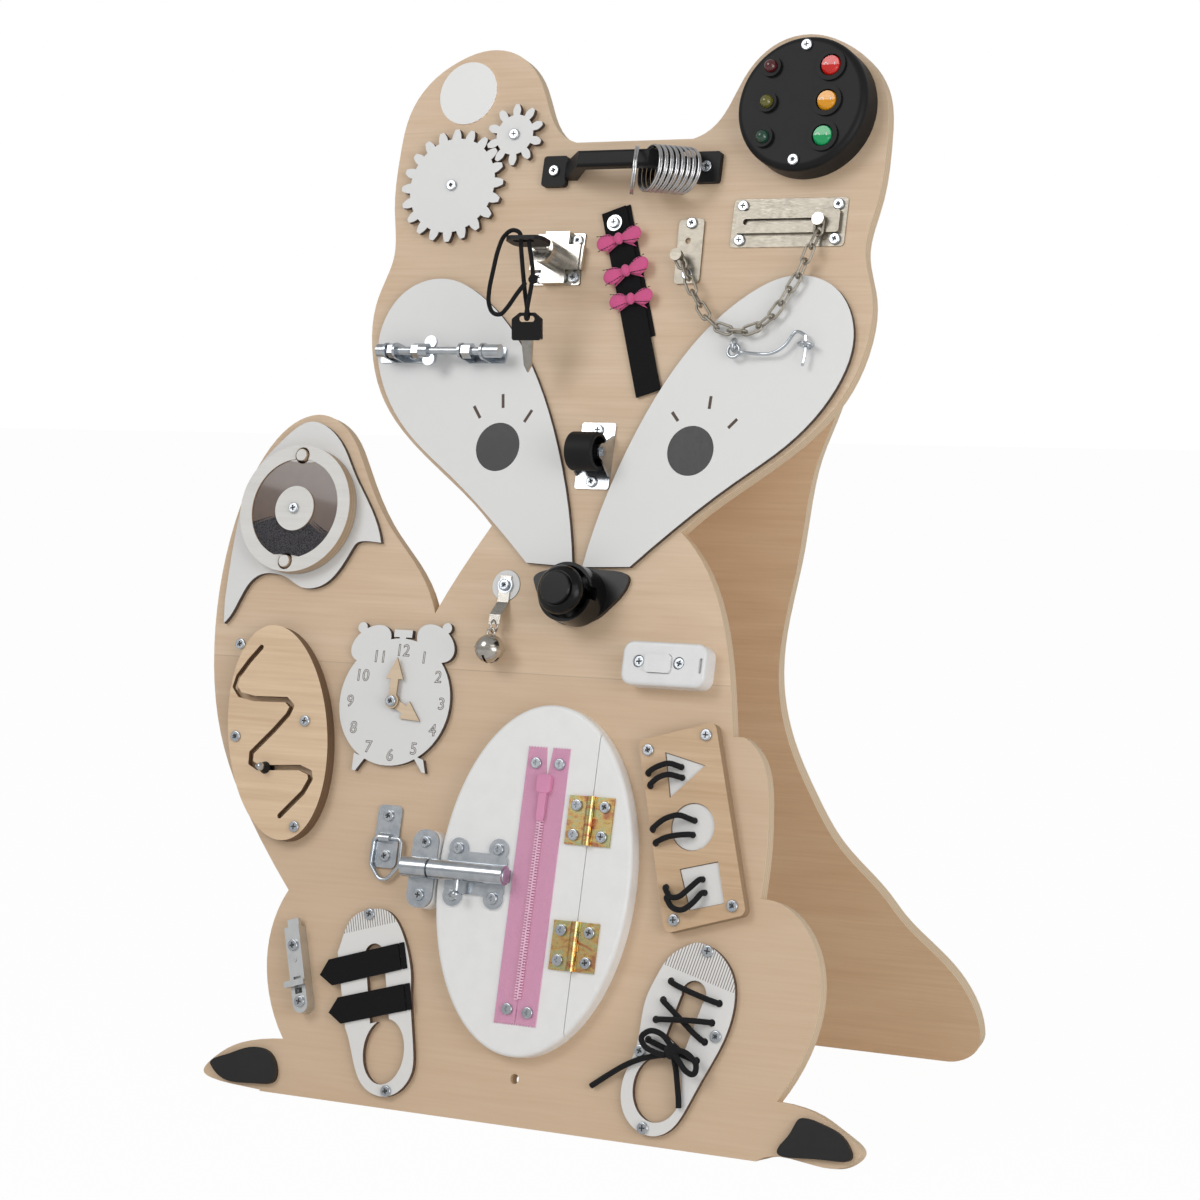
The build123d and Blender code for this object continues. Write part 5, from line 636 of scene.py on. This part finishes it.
# the folded clip over the bell's ring, seen from the side: up from the pivot, and off the board
BELL_CLIP_U, BELL_CLIP_WIDTH, BELL_PIVOT_V = -58.5, 9.0, 354.0
BELL_DISC, BELL_DISC_RADIUS = (-58.2, 381.3), 11.5
clip_side = [(34.3, 0.6), (14.0, 0.6), (3.5, 9.0), (-3.0, 9.0), (-3.0, 10.2), (4.2, 10.2),
             (14.8, 1.8), (34.3, 1.8)]
shape = bmesh.new()
prism(shape, clip_side, -BELL_CLIP_WIDTH / 2, BELL_CLIP_WIDTH / 2)
finished("bell_clip", shape, Matrix(((0, 0, 1, BELL_CLIP_U), (1, 0, 0, BELL_PIVOT_V),
                                     (0, 1, 0, 0), (0, 0, 0, 1))), nickel, "front")
shape = bmesh.new()
bmesh.ops.create_cone(shape, cap_ends=True, segments=48, radius1=BELL_DISC_RADIUS,
                      radius2=BELL_DISC_RADIUS - 0.2, depth=0.5,
                      matrix=Matrix.Translation((*BELL_DISC, 0.27)))
finished("bell_disc", shape, Matrix.Identity(4), white_laminate, "front")

# the sewn ends that the two shoe straps fold from
END_LENGTH, END_GAP, SHOE_LAMINATE = 4.0, 0.7, 4.0
shape = bmesh.new()
for (u1, v1), (u2, v2) in (((-102.8, 108.0), (-167.5, 88.3)), ((-94.0, 79.7), (-155.7, 62.2))):
    along = atan2(v2 - v1, u2 - u1)
    back = END_GAP + END_LENGTH / 2
    block(shape, (END_LENGTH, 19.0, WEBBING), (u1 - back * cos(along), v1 - back * sin(along),
                                              SHOE_LAMINATE + WEBBING / 2), 0.3, along * 180 / pi)
finished("shoe_strap_ends", shape, Matrix.Identity(4), shoe_webbing, "front")

bow_places = [(1.3, 638.8, 14.0, 0.98), (10.4, 614.7, 18.0, 1.0), (17.3, 593.7, 8.0, 0.94)]
for index, (u, v, angle, scale) in enumerate(bow_places, 1):
    place = Matrix.Translation((u, v, 2 * WEBBING))
    finished(f"pink_bow_{index}", ribbon_bow(angle, scale), place, pink_ribbon, "front", True)
    finished(f"bow_stitches_{index}", bow_stitches(angle, scale), place, black_thread, "front")

# ---------------------------------------------------------------- zip tapes and teeth
ZIP_U, TAPE_EDGES, TAPE_ENDS, TAPE_LOW = 1.9, (-15.0, 18.0), (69.5, 265.0), 12.0
TEETH_BOTTOM, SLIDER_V, TOOTH_LOW = 88.0, 233.0, 13.0
PARTING_V, PARTING, FOOT_SPLIT_V, FOOT_SPLIT = 238.0, 2.8, 84.0, 0.7
TOOTH_PITCH, PINK_PITCH, PINK_DEPTH = 2.0, 2.4, 1.3


def pinked(start, end, height, depth):
    """The points of a zigzag cut from one edge of the tape to the other."""
    steps = round(abs(end - start) / PINK_PITCH) * 2
    return [(start + (end - start) * step / steps, height - depth * (step % 2))
            for step in range(steps + 1)]


shape = bmesh.new()
for side, outer in zip((-1, 1), TAPE_EDGES):
    foot, top = ZIP_U + side * FOOT_SPLIT, ZIP_U + side * PARTING
    middle = ZIP_U + side * 0.1
    prism(shape, pinked(outer, foot, TAPE_ENDS[0], -PINK_DEPTH)
          + [(middle, FOOT_SPLIT_V), (middle, PARTING_V)]
          + pinked(top, outer, TAPE_ENDS[1], PINK_DEPTH), TAPE_LOW + 0.02, TOOTH_LOW)
zip_band = finished("zip_band", shape, Matrix.Identity(4), zip_fabric, "door")
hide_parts("zip_tape")
shape = bmesh.new()
height = TEETH_BOTTOM
while height < SLIDER_V:
    for side in (-1, 1):
        block(shape, (3.1, 1.15, 1.5), (ZIP_U + side * 1.15, height + side * TOOTH_PITCH / 4,
                                        TOOTH_LOW + 0.85), 0.25)
    height += TOOTH_PITCH
finished("zip_teeth", shape, Matrix.Identity(4), zip_tooth, "door")

# ---------------------------------------------------------------- marks on the switches
SWITCH_U, MARK_TOP = 160.8, 24.35
for name, v in (("red", 757.8), ("amber", 732.0), ("green", 706.3)):
    shape = bmesh.new()
    ring = bmesh.ops.create_circle(shape, segments=24, radius=1.7)
    edges = list({edge for vertex in ring["verts"] for edge in vertex.link_edges})
    inner = bmesh.ops.extrude_edge_only(shape, edges=edges)["geom"]
    for vertex in [item for item in inner if isinstance(item, bmesh.types.BMVert)]:
        vertex.co *= 0.7
    bmesh.ops.translate(shape, verts=shape.verts, vec=(-3.4, 0.0, 0.0))
    bmesh.ops.solidify(shape, geom=shape.faces[:], thickness=0.12)
    block(shape, (0.6, 3.4, 0.12), (3.4, 0.0, 0.0))
    finished(name + "_marks", shape, Matrix.Translation((SWITCH_U, v, MARK_TOP)), mark_white,
             name + "_rocker")

# ---------------------------------------------------------------- knot of the key cord
shape = bmesh.new()
bmesh.ops.create_icosphere(shape, subdivisions=4, radius=3.4)
for vertex in shape.verts:
    swirl = sin(atan2(vertex.co.y, vertex.co.x) * 3 + vertex.co.z * 1.6)
    vertex.co *= 1.0 + 0.09 * swirl
finished("key_cord_knot", shape, Matrix.Translation((-42.9, 597.6, 45.6)), braid, "hanging_key",
         True)


# ---------------------------------------------------------------- floor, light and camera
def stage_piece(name, size, height, material):
    shape = bmesh.new()
    bmesh.ops.create_grid(shape, x_segments=1, y_segments=1, size=size)
    mesh = bpy.data.meshes.new(name)
    shape.to_mesh(mesh)
    shape.free()
    mesh.transform(Matrix.Translation((0, 0, height)))
    mesh.materials.append(material)
    piece = bpy.data.objects.new(name, mesh)
    bpy.context.scene.collection.objects.link(piece)


WHITE = (1.0, 1.0, 1.0, 1.0)
floor = Finish("pale_floor", (0.86, 0.86, 0.86), 0.9)
path = floor.tree.nodes.new("ShaderNodeLightPath")
seen = Value(floor, path.outputs["Is Camera Ray"])
white = floor.node("Emission", {}, {"Color": WHITE, "Strength": 1.0})
lit = Value(floor, floor.shader.outputs[0])
blend = floor.node("MixShader", {}, {0: seen * 0.97, 1: lit, 2: white})
floor.tree.links.new(blend.socket, floor.tree.nodes["Material Output"].inputs["Surface"])
stage_piece("floor", 12.0, -0.0005, floor.material)

world = bpy.data.worlds.new("studio")
bpy.context.scene.world = world
world.use_nodes = True
tree = world.node_tree
path = tree.nodes.new("ShaderNodeLightPath")
dim = tree.nodes["Background"]
dim.inputs["Color"].default_value = WHITE
dim.inputs["Strength"].default_value = 0.42
bright = tree.nodes.new("ShaderNodeBackground")
bright.inputs["Color"].default_value = WHITE
bright.inputs["Strength"].default_value = 1.0
straight = tree.nodes.new("ShaderNodeMath")
straight.operation = "MAXIMUM"
tree.links.new(path.outputs["Is Camera Ray"], straight.inputs[0])
tree.links.new(path.outputs["Is Transmission Ray"], straight.inputs[1])
sky = tree.nodes.new("ShaderNodeMixShader")
tree.links.new(straight.outputs[0], sky.inputs[0])
tree.links.new(dim.outputs[0], sky.inputs[1])
tree.links.new(bright.outputs[0], sky.inputs[2])
tree.links.new(sky.outputs[0], tree.nodes["World Output"].inputs["Surface"])


def soft_light(name, place, aim, size, power):
    lamp = bpy.data.lights.new(name, "AREA")
    lamp.shape, lamp.size, lamp.energy = "SQUARE", size, power
    light = bpy.data.objects.new(name, lamp)
    bpy.context.scene.collection.objects.link(light)
    light.location = place
    light.rotation_euler = (Vector(aim) - Vector(place)).to_track_quat("-Z", "Y").to_euler()


soft_light("key_light", (-1.4, -2.4, 2.4), (0, 0.1, 0.4), 1.6, 30)
soft_light("fill_light", (2.4, -1.6, 1.2), (0, 0.1, 0.4), 1.8, 13)
soft_light("low_light", (1.9, -0.7, 0.2), (0.1, 0.25, 0.3), 1.2, 12)

CAMERA_PLACE = Vector((1.02691, -1.79212, 0.55019))
CAMERA_YAW, CAMERA_PITCH = radians(28.112), radians(5.065)
LENS, SENSOR = 90.57, 36.0
view = Vector((-sin(CAMERA_YAW) * cos(CAMERA_PITCH), cos(CAMERA_YAW) * cos(CAMERA_PITCH),
               -sin(CAMERA_PITCH)))
camera_data = bpy.data.cameras.new("camera")
camera_data.lens, camera_data.sensor_width = LENS, SENSOR
camera = bpy.data.objects.new("camera", camera_data)
bpy.context.scene.collection.objects.link(camera)
camera.location = CAMERA_PLACE
camera.rotation_euler = view.to_track_quat("-Z", "Y").to_euler()
bpy.context.scene.camera = camera
bpy.context.scene.view_settings.view_transform = "Standard"
